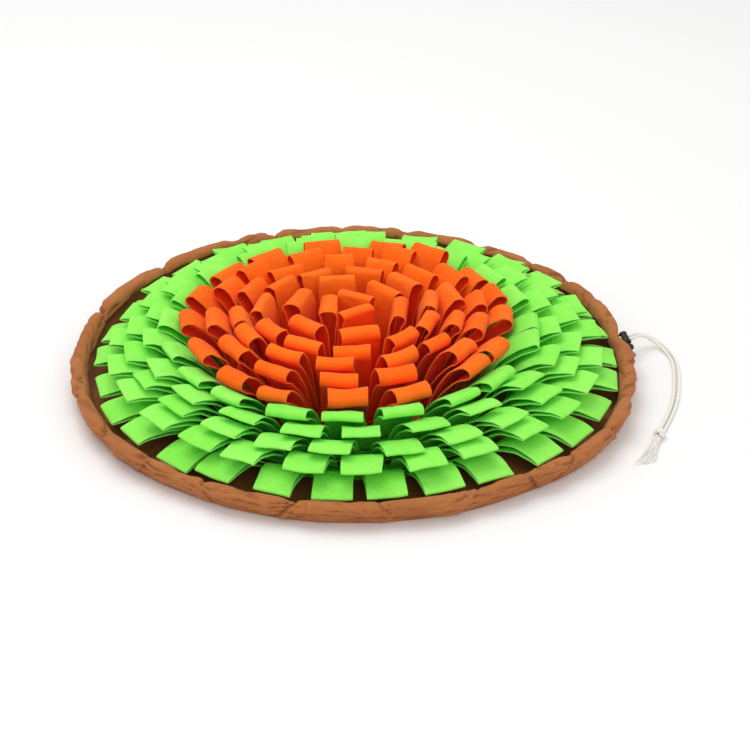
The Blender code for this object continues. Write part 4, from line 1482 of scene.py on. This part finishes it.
button_profile = rounded([
    (AT_AXIS, STEM_END), (STEM, STEM_END), (STEM, HEAD), (HEAD_RADIUS, HEAD),
    (HEAD_RADIUS, HEAD_SIDE), (RING_OUTSIDE, HEAD_TOP), (RING_INSIDE, HEAD_TOP),
    (HOLLOW, HOLLOW_FLOOR), (AT_AXIS, HOLLOW_FLOOR)], SMALL_CORNER)
button = turned("lock_button", button_profile, LOCK_CENTRE, LOCK_AXIS, black_plastic,
                HEAD_RIBS)
print("lock faces", len(barrel.data.polygons), len(button.data.polygons))

# %% [markdown]
# ## The holes
#
# The cord crosses the barrel and the button through an oval hole, and leaves the rim
# through a small buttonhole. Both are cut with a Boolean, as one would drill or snip
# them: an oval bar is the tool, and it is thrown away afterwards. The button's hole
# lines up with the barrel's only when it is pressed, so it is cut that much higher.

# %% Cut the cross hole and the buttonhole
HOLE_TALL = 0.0017
HOLE_REACH = 0.008
# The buttonhole's tool: half of its width, height and length.
SLIT_HALF = (0.0048, 0.0025, 0.0044)
CUTTER_SIDES = 28
OVAL_POWER = 0.7


def oval_cutter(name, centre, half_wide, half_tall, half_long, material):
    """A rounded bar along the cord's way, used as a cutting tool."""
    tall_way = CORD_WAY.cross(LOCK_AXIS).normalized()
    points = []
    for end in (-1, 1):
        for step in range(CUTTER_SIDES):
            angle = 2 * math.pi * step / CUTTER_SIDES
            c, s = math.cos(angle), math.sin(angle)
            wide = half_wide * math.copysign(abs(c) ** OVAL_POWER, c)
            tall = half_tall * math.copysign(abs(s) ** OVAL_POWER, s)
            points.append(centre + CORD_WAY * end * half_long + LOCK_AXIS * wide
                          + tall_way * tall)
    return new_piece(name, points, tube_faces(2, CUTTER_SIDES), material, smooth=False)


def cut_away(piece, cutter):
    """Cut one piece with another and delete the tool."""
    step = piece.modifiers.new("cut", "BOOLEAN")
    step.operation = "DIFFERENCE"
    step.solver = "EXACT"
    step.object = cutter
    with bpy.context.temp_override(object=piece, active_object=piece):
        bpy.ops.object.modifier_apply(modifier=step.name)
    bpy.data.objects.remove(cutter, do_unlink=True)


for piece, along_axis in ((barrel, 0.0), (button, TRAVEL)):
    cut_away(piece, oval_cutter("hole_tool", LOCK_CENTRE + LOCK_AXIS * along_axis,
                                HOLE_WIDE, HOLE_TALL, HOLE_REACH, black_plastic))
slot_middle = LOCK_CENTRE - CORD_WAY * SLOT_FROM_LOCK
cut_away(base, oval_cutter("slit_tool", slot_middle, *SLIT_HALF, brown_cloth))
print("after cutting", len(barrel.data.polygons), len(base.data.polygons))

# %% [markdown]
# ## Stitches
#
# A row of stitches holds the channel closed along the wall's inner foot. They could be
# drawn on the cloth, but they catch the light. A stitch is a short thread that dips
# into the cloth at both ends, so each one is a small bowed capsule. They follow the
# wall's own radius and are joined into one mesh.

# %% Sew the channel
STITCHES = 370
STITCH_LENGTH = 0.0030
STITCH_RADIUS = 0.00032
STITCH_BOW = 0.5
STITCH_SIDES = 6
STITCH_ROWS = (
    # share of the length, share of the thickness
    (0.0, 0.30), (0.12, 0.85), (0.35, 1.0), (0.65, 1.0), (0.88, 0.85), (1.0, 0.30),
)
SEAM_FROM_FOOT = 0.0006
SEAM_OVER_CLOTH = 0.0004


def stitch_row(name, spots, material):
    """Small bowed capsules at (place, direction) spots, as one mesh."""
    points = []
    faces = []
    for place, way in spots:
        cross = UP.cross(way).normalized()
        faces += tube_faces(len(STITCH_ROWS), STITCH_SIDES, len(points))
        for share, size in STITCH_ROWS:
            rise = STITCH_RADIUS * STITCH_BOW * math.sin(math.pi * share)
            middle = place + way * STITCH_LENGTH * (share - 0.5) + UP * rise
            for side in range(STITCH_SIDES):
                angle = 2 * math.pi * side / STITCH_SIDES
                points.append(middle + (cross * math.cos(angle) + UP * math.sin(angle))
                              * STITCH_RADIUS * size)
    return new_piece(name, points, faces, material)


def channel_spots():
    """Stitches along the wall's inner foot."""
    spots = []
    for step in range(STITCHES):
        azimuth = 360.0 * step / STITCHES
        radius = float(wall_at(azimuth)[0][0]) + WALL_FOOT_INSIDE + SEAM_FROM_FOOT
        place = polar(radius, azimuth, CLOTH + SEAM_OVER_CLOTH) + WALL_CENTRE
        spots.append((place, polar(1.0, azimuth + 90)))
    return spots


channel_stitches = stitch_row("channel_stitches", channel_spots(), brown_thread)
print("stitches", len(channel_stitches.data.polygons), "faces")

# %% [markdown]
# ## Floor and light
#
# The photograph shows a bright plain ground and soft light from above, with no hard
# shadow. A sun lamp would draw hard edges, so both lamps are wide areas. The one
# overhead gives the tops of the loops their even light, and the weaker one at the
# front opens up the shadows between them.

# %% Light the scene
FLOOR_HALF = 12.0
FLOOR_LEVEL = -0.0002
FLOOR_COLOUR = (0.90, 0.90, 0.895, 1)
FLOOR_ROUGHNESS = 0.9
SKY_STRENGTH = 0.75
LAMPS = (
    # name, place, what it faces, size, watts
    ("overhead", (-0.45, 0.35, 1.9), (0, 0, 0), 1.5, 16),
    ("front", (0.4, -1.7, 1.3), (0, 0, 0.02), 1.2, 7),
)

floor_finish = bpy.data.materials.new("pale_floor")
floor_finish.use_nodes = True
floor_shader = floor_finish.node_tree.nodes["Principled BSDF"]
floor_shader.inputs["Base Color"].default_value = FLOOR_COLOUR
floor_shader.inputs["Roughness"].default_value = FLOOR_ROUGHNESS
floor = new_piece("floor", [(x * FLOOR_HALF, y * FLOOR_HALF, FLOOR_LEVEL)
                            for x, y in ((-1, -1), (1, -1), (1, 1), (-1, 1))],
                  [(0, 1, 2, 3)], floor_finish)

world = bpy.data.worlds.new("studio")
scene.world = world
world.use_nodes = True
sky = world.node_tree.nodes["Background"]
sky.inputs["Color"].default_value = (1.0, 1.0, 1.0, 1)
sky.inputs["Strength"].default_value = SKY_STRENGTH


def soft_lamp(name, place, target, size, watts):
    """A square lamp that faces a point."""
    lamp = bpy.data.lights.new(name, "AREA")
    lamp.size = size
    lamp.energy = watts
    holder = bpy.data.objects.new(name, lamp)
    holder.location = place
    aim = Vector(target) - Vector(place)
    holder.rotation_euler = aim.to_track_quat("-Z", "Y").to_euler()
    scene.collection.objects.link(holder)


for lamp_row in LAMPS:
    soft_lamp(*lamp_row)
scene.view_settings.view_transform = "Standard"
scene.view_settings.look = "None"
scene.view_settings.exposure = 0.0

# %% [markdown]
# ## Hand each piece to its body
#
# Every piece rides on a body of the packed model and replaces the plain solid that it
# dresses. The button alone rides on the body that slides. The stitches dress no solid of
# their own, and the floor is only the ground of the picture.

# %% Hand the pieces over
for name, piece in felt_rings.items():
    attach(piece, "mat")
    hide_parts(name)
for piece, nodes, slot_name in (
        (base, ("base_cloth",), "base_cloth"),
        (channel_stitches, (), "base_cloth"),
        (cord_left, ("drawcord_left", "cord_neck_left"), "cotton_cord"),
        (cord_right, ("drawcord_right", "cord_neck_right"), "cotton_cord"),
        (knot, ("cord_knot",), "cotton_cord"),
        (frayed, ("cord_knot",), "cotton_cord"),
        (barrel, ("cord_lock",), "lock_plastic")):
    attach(piece, "mat")
    if nodes:
        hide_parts(*nodes)
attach(button, "lock_button")
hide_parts("cord_lock_button")
print("rings handed over", len(felt_rings))

# %% [markdown]
# ## Cords and cloths
#
# Cord and cloth change their shape in use, so a solid can't say how much of them there
# is.

print("declared two cords and", 1 + len(RINGS), "sheets")

# %% [markdown]
